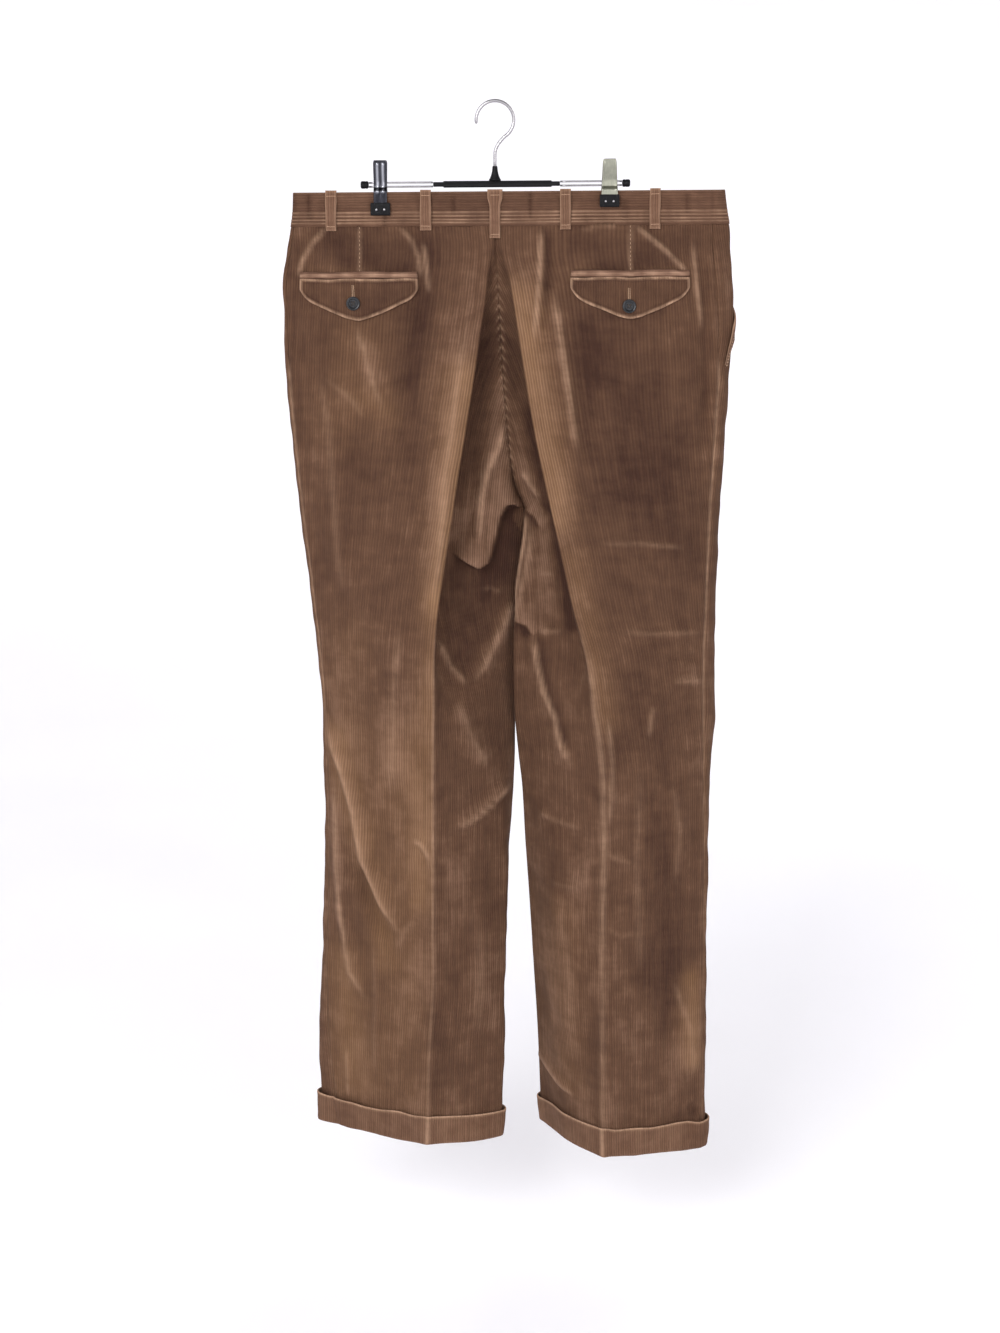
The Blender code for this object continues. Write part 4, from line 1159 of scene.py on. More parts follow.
def tube_rings(path: Array, radius: float | Array, sides: int = 14) -> Array:
    """Rings of a round tube along a path.

    Args:
        path: points in metres.
        radius: in metres, one or by point.
        sides: points in each ring.

    Returns:
        The rings' points.
    """
    way = unit(np.gradient(path, axis=0))
    hint = FORWARD if abs(way[:, 1]).max() < 0.9 else np.array([0.0, 0.0, 1.0])
    first = unit(np.cross(way, hint))
    second = np.cross(way, first)
    radius = np.broadcast_to(np.asarray(radius, float), (len(path),))[:, None, None]
    c, s = (wave(turns(sides))[None, :, None] for wave in (np.cos, np.sin))
    return path[:, None] + radius * (c * first[:, None] + s * second[:, None])


def lathe(profile: Path, centre: Place, over: Place, up: Place, out: Place, sides: int) -> Array:
    """Rings turned round an axis.

    Args:
        profile: radius and height along the axis of each ring.
        centre: where the axis starts.
        over: first axis across it.
        up: second axis across it.
        out: the axis.
        sides: points in each ring.

    Returns:
        The rings' points.
    """
    over, up, out = (np.asarray(axis, float) for axis in (over, up, out))
    radius, height = (np.array(values)[:, None, None] for values in zip(*profile))
    c, s = (wave(turns(sides))[:, None] for wave in (np.cos, np.sin))
    return np.asarray(centre, float) + radius * (c * over + s * up) + height * out


def squared(sides: int, power: float) -> tuple[Array, Array]:
    """Places round a ring that is pushed out towards a square."""
    return tuple(np.sign(v) * np.abs(v) ** power for v in (np.cos(turns(sides)), np.sin(turns(sides))))


def settle(piece: Piece, slot: str, *nodes: str) -> Piece:
    """Hang a finished piece on the garment.

    Args:
        piece: the finished piece.
        slot: the record's slot, which is only logged.
        nodes: the nodes that it stands for.

    Returns:
        The piece.
    """
    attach(piece, "root")
    if nodes:
        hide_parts(*nodes)
    LOG.info("%s: %d faces, slot %s", piece.name, len(piece.data.polygons), slot)
    return piece


# ------------------------------------------------------------------ finishes

SHADER, MATH, MIX = "Principled BSDF", "ShaderNodeMath", "ShaderNodeMix"
NOISE, MAPPING, ATTRIBUTE = "ShaderNodeTexNoise", "ShaderNodeMapping", "ShaderNodeAttribute"
MATT = (0.0, 1.0, 0.85, 1.0)         # a roughness that follows noise from 0 to 1
BLEND = {"output": 2, "data_type": "RGBA"}


def linear(code: str) -> tuple[float, float, float, float]:
    """A colour from its sRGB hex code, in linear light."""
    parts = [int(code[i:i + 2], 16) / 255.0 for i in (1, 3, 5)]
    return (*(c / 12.92 if c <= 0.04045 else ((c + 0.055) / 1.055) ** 2.4 for c in parts), 1.0)


def add_node(tree: bpy.types.NodeTree, kind: str, inputs: dict | None = None, output: int | str = 0,
             **settings: object) -> bpy.types.NodeSocket | None:
    """Add a node with its settings, values and links.

    Args:
        tree: the tree that it goes in.
        kind: its type.
        inputs: values or output sockets, by input name or number.
        output: name or number of the output that is wanted.
        settings: its own properties.

    Returns:
        The output that is wanted, if the node has any.
    """
    node = tree.nodes.new(kind)
    for name, value in settings.items():
        setattr(node, name, value)
    for key, value in (inputs or {}).items():
        if isinstance(value, bpy.types.NodeSocket):
            tree.links.new(value, node.inputs[key])
        else:
            node.inputs[key].default_value = value
    return node.outputs[output] if node.outputs else None


def start_material(name: str, **constants: float | tuple) -> tuple[Finish, bpy.types.NodeTree]:
    """A new material with its shader.

    Args:
        name: the finish's name.
        constants: values for the shader's own sockets, with _ for a space.

    Returns:
        The material and its tree.
    """
    material = bpy.data.materials.new(name)
    material.use_nodes = True
    for key, value in constants.items():
        material.node_tree.nodes[SHADER].inputs[key.replace("_", " ")].default_value = value
    return material, material.node_tree


def close_material(tree: bpy.types.NodeTree, colour: bpy.types.NodeSocket, rough: tuple, bump: dict | None) -> None:
    """Link a material's colour, roughness and relief to its shader.

    Args:
        tree: the material's tree.
        colour: its colour.
        rough: what its roughness follows, from and to which value, and the roughness at each.
        bump: height, distance and strength of its relief, if it has any.
    """
    inputs = tree.nodes[SHADER].inputs
    tree.links.new(colour, inputs["Base Color"])
    tree.links.new(add_node(tree, "ShaderNodeMapRange", dict(enumerate(rough))), inputs["Roughness"])
    if bump:
        tree.links.new(add_node(tree, "ShaderNodeBump", bump), inputs["Normal"])


@dataclass(frozen=True)
class Corduroy:
    """Cut pile in wales on a cotton ground; pale where the pile is rubbed, and darker between the wales, where the
    ground shows and shade is painted in.
    """

    name: str
    deep: str = "#38231A"
    middle: str = "#5B4130"
    light: str = "#866753"
    # golden nap, also used for painted golden highlights where rolls face the light
    gold: str = "#876544"
    # rubbed pile, also used for the painted highlights on fold crests
    rubbed: str = "#C09C80"
    wale: float = 2.7            # real wales are about 2.4 mm, drawn coarser so that they show
    pile: float = 0.40
    groove: float = 0.42
    patch: float = 0.9           # how much the patches of nap differ
    mottle: float = 0.60
    streak: float = 0.50
    single: float = 0.10         # how much single wales differ

    def make(self) -> Finish:
        """Build the material.

        Returns:
            The material.
        """
        material, tree = start_material(self.name, Specular_IOR_Level=0.18, Sheen_Weight=0.12, Sheen_Roughness=0.45,
                                        Sheen_Tint=linear(self.light))
        uv = add_node(tree, "ShaderNodeUVMap", uv_map="cloth")
        # wales wander a little, each is its own shade, and streaks run along them
        wander = add_node(tree, NOISE, {"Vector": uv, "Scale": 14.0, "Detail": 2.0})
        across = add_node(tree, "ShaderNodeSeparateXYZ", {0: uv})
        across = add_node(tree, MATH, {0: wander, 1: 0.0022, 2: across}, operation="MULTIPLY_ADD")
        turn = add_node(tree, MATH, {0: across, 1: 1.0 / (self.wale * MM)}, operation="MULTIPLY")
        angle = add_node(tree, MATH, {0: turn, 1: math.tau}, operation="MULTIPLY")
        wave = add_node(tree, MATH, {0: angle}, operation="COSINE")
        rib = add_node(tree, "ShaderNodeMapRange", {0: wave, 1: -1.0, 2: 1.0})
        number = add_node(tree, MATH, {0: turn}, operation="ROUND")
        own = add_node(tree, "ShaderNodeTexWhiteNoise", {"W": number}, "Value", noise_dimensions="1D")
        places = [add_node(tree, MAPPING, {"Vector": uv, "Scale": scale})
                  for scale in ((400.0, 22.0, 1.0), (20.0, 9.0, 1.0), (40.0, 66.0, 1.0))]
        streak, patch, mottle = (
            add_node(tree, NOISE, {"Vector": place, "Scale": 1.0, "Detail": detail, "Roughness": 0.6})
            for place, detail in zip(places, (4.0, 7.0, 5.0)))
        # tone holds uneven nap together with painted light and shade, warm holds golden nap and painted golden
        # highlights, wear holds rubbed pile and painted highlights on fold crests
        tone, warm, wear = (add_node(tree, ATTRIBUTE, output="Fac", attribute_name=name)
                            for name in ("tone", "warm", "wear"))
        shares = ((patch, self.patch), (mottle, self.mottle), (streak, self.streak), (own, self.single))
        even = 0.5 - sum(weight for _, weight in shares) / 2
        total = add_node(tree, MATH, {0: tone, 1: 0.62, 2: even}, operation="MULTIPLY_ADD")
        for value, weight in shares:
            total = add_node(tree, MATH, {0: value, 1: weight, 2: total}, operation="MULTIPLY_ADD")
        nap = add_node(tree, "ShaderNodeValToRGB", {0: total})
        stops = nap.node.color_ramp.elements
        stops[0].position, stops[0].color = 0.0, linear(self.deep)
        stops[1].position, stops[1].color = 1.0, linear(self.light)
        stops.new(0.5).color = linear(self.middle)
        share = add_node(tree, MATH, {0: warm, 1: patch}, operation="MULTIPLY")
        golden = add_node(tree, MIX, {0: share, 6: nap, 7: linear(self.gold)}, **BLEND)
        # the grooves between the wales are darker: the ground shows there, and the shade that falls in them is
        # painted
        low = add_node(tree, "ShaderNodeMapRange", {0: rib, 1: 0.0, 2: 0.75, 3: self.groove, 4: 0.0})
        grooved = add_node(tree, MIX, {0: low, 6: golden, 7: linear(self.deep)}, **BLEND)
        rub = add_node(tree, MATH, {0: wear, 1: streak}, operation="MULTIPLY")
        rub = add_node(tree, MATH, {0: rub, 1: mottle}, operation="MULTIPLY")
        rub = add_node(tree, MATH, {0: rub, 1: 3.2}, operation="MULTIPLY", use_clamp=True)
        colour = add_node(tree, MIX, {0: rub, 6: grooved, 7: linear(self.rubbed)}, **BLEND)
        fuzz = add_node(tree, NOISE, {"Vector": uv, "Scale": 1400.0, "Detail": 2.0})
        height = add_node(tree, MATH, {0: fuzz, 1: 0.3, 2: rib}, operation="MULTIPLY_ADD")
        close_material(tree, colour, (streak, 0.0, 1.0, 0.82, 1.0),
                       {"Height": height, "Distance": self.pile * MM, "Strength": 0.9})
        return material


@dataclass(frozen=True)
class Twill:
    """The flat wrong side of the corduroy: fine diagonal cotton lines without pile."""

    name: str
    yarn: str
    shade: str
    line: float = 1.8            # real lines are 0.6 mm, drawn coarser so that they show
    depth: float = 0.2

    def make(self) -> Finish:
        """Build the material.

        Returns:
            The material.
        """
        material, tree = start_material(self.name, Specular_IOR_Level=0.2, Sheen_Weight=0.05)
        uv = add_node(tree, "ShaderNodeUVMap", uv_map="cloth")
        turned = add_node(tree, MAPPING, {"Vector": uv, "Rotation": (0.0, 0.0, 1.1)})
        # a wave of scale 1 has a line every twentieth of a metre
        lines = add_node(tree, "ShaderNodeTexWave", {"Vector": turned, "Scale": 1.0 / (20.0 * self.line * MM),
                                                     "Distortion": 1.2, "Detail": 2.0}, "Fac")
        cloud = add_node(tree, NOISE, {"Vector": uv, "Scale": 22.0, "Detail": 4.0})
        mixed = add_node(tree, MATH, {0: lines, 1: 0.4, 2: cloud}, operation="MULTIPLY_ADD")
        colour = add_node(tree, MIX, {0: mixed, 6: linear(self.shade), 7: linear(self.yarn)}, **BLEND)
        close_material(tree, colour, (cloud, *MATT), {"Height": lines, "Distance": self.depth * MM})
        return material


@dataclass(frozen=True)
class Hard:
    """A hard finish with fine marks of how it was made: moulded plastic, plated or drawn metal, resin."""

    name: str
    base: str
    second: str
    metal: float
    roughness: tuple[float, float]
    grain: tuple[float, float, float]    # marks to the metre along X, Y and Z
    depth: float = 0.05                  # of the marks
    coat: float = 0.0
    bright: str = "#A4A5AC"              # painted highlight, where the piece carries the wear attribute
    gloss: float = 0.5                   # specular level

    def make(self) -> Finish:
        """Build the material.

        Returns:
            The material.
        """
        material, tree = start_material(self.name, Metallic=self.metal, Coat_Weight=self.coat,
                                        Specular_IOR_Level=self.gloss)
        place = add_node(tree, "ShaderNodeTexCoord", output="Object")
        place = add_node(tree, MAPPING, {"Vector": place, "Scale": self.grain})
        marks = add_node(tree, NOISE, {"Vector": place, "Scale": 1.0, "Detail": 4.0})
        colour = add_node(tree, MIX, {0: marks, 6: linear(self.base), 7: linear(self.second)}, **BLEND)
        # painted highlight: where the wear attribute is set, which is only on the dark clip's ribs, the colour is
        # painted bright
        painted_highlight = add_node(tree, ATTRIBUTE, output="Fac", attribute_name="wear")
        colour = add_node(tree, MIX, {0: painted_highlight, 6: colour, 7: linear(self.bright)}, **BLEND)
        close_material(tree, colour, (marks, 0.3, 0.7, *self.roughness),
                       {"Height": marks, "Distance": self.depth * MM})
        return material


class Finishes:
    """Every finish of the part, made once."""

    def __init__(self) -> None:
        """Make the materials."""
        # mid brown pile with lighter tips: soft, matt, streaked
        self.panel = Corduroy("brown cotton corduroy").make()
        # the same cloth rubbed lighter where it is doubled and handled
        self.band = Corduroy("waistband corduroy", middle="#5A4032", light="#80624F", groove=0.34, patch=0.8).make()
        self.trim = Corduroy("trim corduroy", middle="#664A3B", light="#927360", wale=2.5, groove=0.36,
                             patch=0.6).make()
        # smooth wrong side, duller and darker than the pile
        self.inside = Twill("corduroy wrong side", "#6A4F3B", "#4A3628").make()
        self.thread = Hard("polyester thread", "#C2A184", "#A5866A", 0.0, (0.5, 0.7), (900.0,) * 3).make()
        self.dark_thread = Hard("dark polyester thread", "#2A2320", "#3C322B", 0.0, (0.5, 0.7),
                                (900.0,) * 3).make()
        # cast polyester, glossy, slightly clouded blue-grey
        self.button = Hard("polyester resin button", "#08090B", "#1A1C20", 0.0, (0.25, 0.4),
                           (260.0, 260.0, 160.0), 0.02, 0.15, gloss=0.4).make()
        # nickel-plated drawn wire: bright, with lines along it
        self.wire = Hard("nickel plated wire", "#B9B7B8", "#8D8B8E", 1.0, (0.18, 0.36), (60.0, 900.0, 900.0),
                         0.01).make()
        # moulded polypropylene: black, satin, faintly textured
        self.plastic = Hard("moulded black plastic", "#08090B", "#121114", 0.0, (0.42, 0.58), (700.0,) * 3, 0.03,
                            gloss=0.14).make()
        # dark chrome plate: near black with sharp highlights; those on its ribs are painted highlights
        self.dark_plate = Hard("dark chrome plate", "#242428", "#4A4A50", 1.0, (0.12, 0.28),
                               (500.0, 500.0, 90.0), 0.01).make()
        # satin zinc plate with a grey-green cast
        self.satin_plate = Hard("satin zinc plate", "#9C9C8C", "#84857A", 1.0, (0.35, 0.55),
                                (600.0, 600.0, 80.0), 0.02).make()


# ------------------------------------------------------------------ stitching


class Stitching:
    """Rows of thread, laid along lines by Geometry Nodes."""

    seed: int = 7

    def __init__(self) -> None:
        """Build the stitch tree."""
        tree = bpy.data.node_groups.new("run of stitches", "GeometryNodeTree")
        self.tree, face = tree, tree.interface
        face.new_socket("Geometry", in_out="INPUT", socket_type="NodeSocketGeometry")
        for name in ("Pitch", "Stitch length", "Thread"):
            face.new_socket(name, in_out="INPUT", socket_type="NodeSocketFloat")
        face.new_socket("Seed", in_out="INPUT", socket_type="NodeSocketInt")
        face.new_socket("Finish", in_out="INPUT", socket_type="NodeSocketMaterial")
        face.new_socket("Geometry", in_out="OUTPUT", socket_type="NodeSocketGeometry")
        given = add_node(tree, "NodeGroupInput").node.outputs
        line = add_node(tree, "GeometryNodeMeshToCurve", {0: given["Geometry"]})
        points = add_node(tree, "GeometryNodeResampleCurve", {"Curve": line, "Length": given["Pitch"]},
                          mode="LENGTH")
        bead = add_node(tree, "GeometryNodeMeshUVSphere", {"Segments": 6, "Rings": 5, "Radius": 0.5})
        size = add_node(tree, "ShaderNodeCombineXYZ", {0: given["Thread"], 1: given["Thread"],
                                                       2: given["Stitch length"]})
        stitch = add_node(tree, "GeometryNodeTransform", {"Geometry": bead, "Scale": size})
        tangent = add_node(tree, "GeometryNodeInputTangent")
        turn = add_node(tree, "FunctionNodeAlignRotationToVector", {"Vector": tangent}, axis="Z")
        vary = add_node(tree, "FunctionNodeRandomValue", {2: 0.85, 3: 1.12, "Seed": given["Seed"]}, 1,
                        data_type="FLOAT")
        laid = add_node(tree, "GeometryNodeInstanceOnPoints", {"Points": points, "Instance": stitch,
                                                               "Rotation": turn, "Scale": vary})
        real = add_node(tree, "GeometryNodeRealizeInstances", {0: laid})
        dressed = add_node(tree, "GeometryNodeSetMaterial", {"Geometry": real, "Material": given["Finish"]})
        add_node(tree, "NodeGroupOutput", {0: dressed})

    def sew(self, name: str, lines: list[Array], slot: str, finish: Finish, pitch: float = 3.2,
            length: float = 2.6, thread: float = 0.6) -> Piece:
        """Lay stitches along lines.

        Args:
            name: the piece's name.
            lines: points along each line, in metres.
            slot: the record's slot of the cloth that is sewn.
            finish: the thread.
            pitch: millimetres from stitch to stitch.
            length: of a stitch, in millimetres.
            thread: thickness, in millimetres.

        Returns:
            The finished piece.
        """
        mesh = bpy.data.meshes.new(name)
        points, edges = [], []
        for line in lines:
            edges += [(len(points) + i, len(points) + i + 1) for i in range(len(line) - 1)]
            points += [tuple(p) for p in line]
        mesh.from_pydata(points, edges, [])
        guide = link(name + "_guide", mesh)
        stitcher = guide.modifiers.new("stitches", "NODES")
        stitcher.node_group = self.tree
        given = {"Pitch": pitch * MM, "Stitch length": length * MM, "Thread": thread * MM, "Seed": self.seed,
                 "Finish": finish}
        for item in self.tree.interface.items_tree:
            if item.in_out == "INPUT" and item.name in given:
                stitcher[item.identifier] = given[item.name]
        guide.data.update()
        evaluated = guide.evaluated_get(bpy.context.evaluated_depsgraph_get())
        sewn = bpy.data.meshes.new_from_object(evaluated)
        bpy.data.objects.remove(guide, do_unlink=True)
        sewn.polygons.foreach_set("use_smooth", np.full(len(sewn.polygons), True))
        return settle(link(name, sewn), slot)


# ------------------------------------------------------------------ the garment's parts


@dataclass
class Part:
    """Pieces of the garment, cut from its cloth."""

    cloth: Cloth
    finishes: Finishes
    pieces: dict[str, Piece] = field(default_factory=dict)

    def add(self, name: str, slot: str, grid: Array, normals: Array, thick: float, weave: tuple[Array, Array],
            materials: list[Finish], look: tuple, closed: bool = False, rim: float = 0.5) -> None:
        """Make a sheet of cloth in the place of its node.

        Args:
            name: the node's name.
            slot: the record's slot, which settle logs.
            grid: middle of the sheet, in millimetres.
            normals: the way its outer face looks.
            thick: its thickness.
            weave: place across and along the wales, in millimetres.
            materials: its finishes.
            look: its tone, how golden it is, and its wear.
            closed: whether the last column joins the first.
            rim: share of the thickness that is left at the rims.
        """
        marks = {key: np.broadcast_to(np.asarray(value, float), grid.shape[:2])
                 for key, value in zip(("tone", "warm", "wear"), look)}
        uv = np.stack(np.broadcast_arrays(*weave), -1) * MM
        piece = shell(name + "_cloth", grid, normals, thick, uv, materials, marks, closed, rim)
        self.pieces[name] = settle(piece, slot, name)


@dataclass
class Legs(Part):
    """Four leg panels, a back and a front for each side."""

    rim: float = 0.45

    def build(self) -> None:
        """Make the panels."""
        for side in Side:
            keep = self.cloth.drops[side] >= PANEL_TOP
            for part, first, last in (("back", 0, SIDE_SEAM), ("front", SIDE_SEAM, FORK)):
                columns = slice(first, last + 1)
                across, along = self.cloth.wales(side, part == "back")
                look = tuple(self.cloth.marks[side][key][keep, columns] for key in ("tone", "warm", "wear"))
                self.add(f"{part}_{side.value}", "corduroy", self.cloth.grid[side][keep, columns],
                         self.cloth.normal[side][keep, columns], WALL, (across[keep, columns], along[keep]),
                         [self.finishes.panel, self.finishes.inside], look, rim=self.rim)


@dataclass
class Waistband(Part):
    """Two halves of the waistband, with the cloth's wales lying along it."""

    steps: int = 8               # columns from the centre back to the ridge
    light_lines: tuple[float, ...] = (21.8, 25.4, 29.4, 32.6)
    dents: dict[Side, tuple[tuple[float, float, float], ...]] = field(default_factory=lambda: {
        # X, and drops of both ends
        LEFT: ((-44.0, 7.0, 21.0), (-118.0, 20.0, 34.0), (-199.0, 4.0, 26.0)),
        RIGHT: ((38.0, 0.0, 26.0), (140.0, 12.0, 30.0), (206.0, 6.0, 22.0))})

    def build(self) -> None:
        """Make both halves."""
        drops = np.concatenate([[0.0, 0.5], np.arange(1.5, 36.0, 1.0), [36.2, BAND_HEIGHT - GAP]])
        grids = {}
        for side in Side:
            ring = self.cloth.form.section(side, drops)
            t = np.linspace(0.0, 1.0, self.steps + 1)[None, :-1, None]
            start = ring[:, :1] * (1 - t) + ring[:, [RIDGE]] * t
            grids[side] = np.concatenate([start, ring[:, RIDGE:]], 1)
        for side in Side:
            grid, twin = grids[side], grids[side.other]
            normals = surface_normals(grid, twin[:, 1], twin[:, -2]) * side.out
            x, drop, walk = grid[..., 0], grid[..., 2], Cloth.walk(grid)
            seam = self.steps + SIDE_SEAM - RIDGE
            lift = 0.25 * np.sin(x / 17.0 + 1.3 * side.out) * np.sin(drop / 11.0 + x / 40.0)
            lift += sum(0.28 * bell(drop - line, 0.9) for line in self.light_lines)
            behind = np.arange(x.shape[1]) < seam
            for place, top, foot in self.dents[side]:
                lift -= 1.5 * bell(x - place, 2.2) * window(drop, top - 4.0, 4.0, foot + 4.0, 4.0) * behind
            lift -= 0.7 * bell(walk - walk[:, [seam]], 1.6) + 0.7 * bell(walk, 1.4)
            wear = sum(0.5 * bell(drop - line, 0.7) for line in self.light_lines)
            wear *= 0.75 + 0.25 * np.sin(x / 13.0 + 2.0 * np.sin(x / 37.0))
            wear += 0.25 * bell(drop, 1.2)
            # painted shade: the band is painted a little darker all over, and darker still where its dents and seams
            # sink in
            tone = 0.05 * ease((drop - 16.0) / 6.0) - 0.12 + 0.10 * np.sin(x / 29.0) + 0.4 * np.minimum(lift, 0.0)
            self.add(f"waistband_{side.value}", "band_corduroy", grid + normals * lift[..., None], normals,
                     BAND_WALL, (drop, walk), [self.finishes.band, self.finishes.inside], (tone, 0.1, wear))


@dataclass
class TurnUps(Part):
    """The deep turned-up hem round each leg, folded under the leg's end."""

    off: float = 2.3             # from the leg's middle to the turn-up's
    bottom: Path = (
        # distance out from the leg's middle, and height above the fold
        (2.3, 5.0), (2.25, 2.8), (1.9, 1.4), (1.1, 0.5), (0.0, 0.2), (-1.0, 0.6), (-1.8, 2.0), (-2.0, 5.0),
        (-2.0, 10.0))
    pitch: float = 1.8           # millimetres of cloth from row to row
    swells: dict[Side, Path] = field(default_factory=lambda: {
        # height, X and width of the places where the top edge gapes or is pressed
        LEFT: ((3.0, -200.0, 16.0),), RIGHT: ((1.5, 236.0, 18.0), (-2.4, 222.0, 6.0))})

    def build(self) -> None:
        """Make both turn-ups."""
        heights = [TURNUP_HEIGHT, TURNUP_HEIGHT - 0.6, *np.linspace(32.0, 8.0, 13)]
        profile = [(self.off, height) for height in heights] + list(self.bottom)
        for side in Side:
            grid = np.array([self.ring(side, offset, above) for offset, above in profile])
            middle = grid.shape[1] // 2
            outward = (grid[0, middle] - grid[0].mean(0)) * (1.0, 1.0, 0.0)
            normals = grid_normals(grid, outward, closed=True)
            walk = Cloth.walk(np.concatenate([grid, grid[:, :1]], 1))
            walk -= walk[:, [RIDGE]]
            height = np.array([above for _, above in profile])[:, None]
            wear = 0.75 * bell(height - TURNUP_HEIGHT, 1.5) + 0.4 * bell(height, 1.2) + 0.5 * bell(walk[:, :-1], 2.0)
            tone = 0.20 + 0.12 * np.sin(grid[..., 0] / 23.0 + side.out)
            down = self.pitch * np.arange(1, len(grid) + 1)[:, None]
            self.add(f"turnup_{side.value}", "band_corduroy", grid, normals, TURNUP_WALL, (walk, down),
                     [self.finishes.band, self.finishes.inside], (tone, 0.25, wear), closed=True)

    def ring(self, side: Side, offset: float, above: float) -> Array:
        """One row of a turn-up.

        Args:
            side: which leg.
            offset: distance out from the leg's middle.
            above: height above the fold.

        Returns:
            The row's points.
        """
        drop = HEMS[side] - above
        row, share = self.cloth.level(side, drop)
        points, normals = (part[side][row] * (1 - share) + part[side][row + 1] * share
                           for part in (self.cloth.grid, self.cloth.normal))
        points, normals = points[:-1], unit(normals[:-1] * (1.0, 1.0, 0.0))
        # the thick fold rounds off the leg's small folds
        points, normals = (sum(np.roll(values, step, axis=0) for step in (-1, 0, 1)) / 3.0
                           for values in (points, normals))
        around = turns(len(points))
        stand = 0.9 + 0.7 * np.sin(2 * around + 0.8) + 0.5 * np.sin(5 * around + 2.0 * side.out)
        stand += sum(size * bell(points[:, 0] - x, width) for size, x, width in self.swells[side])
        free = ease((above - 4.0) / 24.0) if offset == self.off else 0.0
        stand = np.maximum(stand, 0.0) * (0.35 + 0.65 * free) * (offset > 1.5)
        points += normals * (offset + stand + 0.5 * ease((above - 28.0) / 5.0))[:, None]
        uneven = 1.1 * np.sin(3 * around + side.out) + 0.6 * np.sin(7 * around + 1.0)
        points[:, 2] = drop + uneven * ease((above - 10.0) / 20.0)
        return points


@dataclass
class BeltLoops(Part):
    """Five loops behind and two in front, each a doubled strip with pressed edges."""

    half: float = 5.75
    centre_half: float = 5.6     # of the centre loop at its foot; its head is wider
    back_top: float = -2.0
    front_top: float = 0.8
    foot: float = 40.5
    centre_foot: float = 49.0
    bow: float = 1.2
    places: tuple[tuple[str, Side, float], ...] = (
        ("loop_back_1", LEFT, -175.4), ("loop_back_2", LEFT, -73.8), ("loop_back_3", RIGHT, 0.0),
        ("loop_back_4", RIGHT, 75.0), ("loop_back_5", RIGHT, 171.3), ("loop_front_1", LEFT, -96.0),
        ("loop_front_2", RIGHT, 96.0))

    def base(self, name: str, side: Side, x: float, away: float, drop: float) -> tuple[Array, Array]:
        """The band's middle under a place of a loop.

        Args:
            name: the loop's name.
            side: which half it lies on.
            x: its middle.
            away: distance from its middle.
            drop: the place's drop.

        Returns:
            The point and the outward normal.
        """
        if x:
            return self.cloth.spot(side, OUT if "back" in name else FRONT_IN, x + away, drop)
        point, _ = self.cloth.spot(side, OUT, 10.0, drop)
        return np.array([away, min(point[1], BAND_FACE), drop]), BACKWARD

    def bulge(self, drop: float) -> float:
        """How far a loop bows off the band."""
        return self.bow * math.sin(math.pi * min(max(drop / self.foot, 0.0), 1.0))

    def build(self) -> None:
        """Make the seven loops."""
        across = np.linspace(-1.0, 1.0, 13)
        edge = 0.35 * bell(np.abs(across) - 0.86, 0.1)
        for name, side, x in self.places:
            behind = "back" in name
            top = self.back_top if behind else self.front_top
            foot = self.foot if x else self.centre_foot
            rows = []
            for drop in spread(top, foot, (0.5,), 2.0, 24):
                half = self.half if x else self.centre_half + 2.4 * float(ease((16.0 - drop) / 10.0))
                lifts = BAND_WALL / 2 + GAP + LOOP_WALL / 2 + self.bulge(drop) + edge
                places = [self.base(name, side, x, f * half, max(drop, 0.0)) for f in across]
                rows.append([[*(point + normal * lift)[:2], drop] for (point, normal), lift in zip(places, lifts)])
            grid = np.array(rows)
            normals = grid_normals(grid, BACKWARD if behind else FORWARD)
            drop = grid[..., 2]
            wear = 0.36 * bell(np.abs(across) - 1.0, 0.2) + 0.2 * (bell(drop - top, 2.0) + bell(drop - foot, 2.0))
            self.add(name, "trim_corduroy", grid, normals, LOOP_WALL, (across * self.half, drop),
                     [self.finishes.trim], (0.16, 0.25, wear), rim=0.55)

    def tacks(self) -> list[Array]:
        """Lines of close stitches that hold the loops' feet and tops.

        Returns:
            Points of each line, in metres.
        """
        lines = []
        for name, side, x in self.places:
            foot = self.foot if x else self.centre_foot
            for drop in (4.0, foot - 4.0):
                lift = BAND_WALL / 2 + GAP + LOOP_WALL + self.bulge(drop) + 0.15
                places = [self.base(name, side, x, f * self.half, drop) for f in np.linspace(-0.75, 0.75, 7)]
                lines.append(to_frame(np.array([point + normal * lift for point, normal in places])))
        return lines


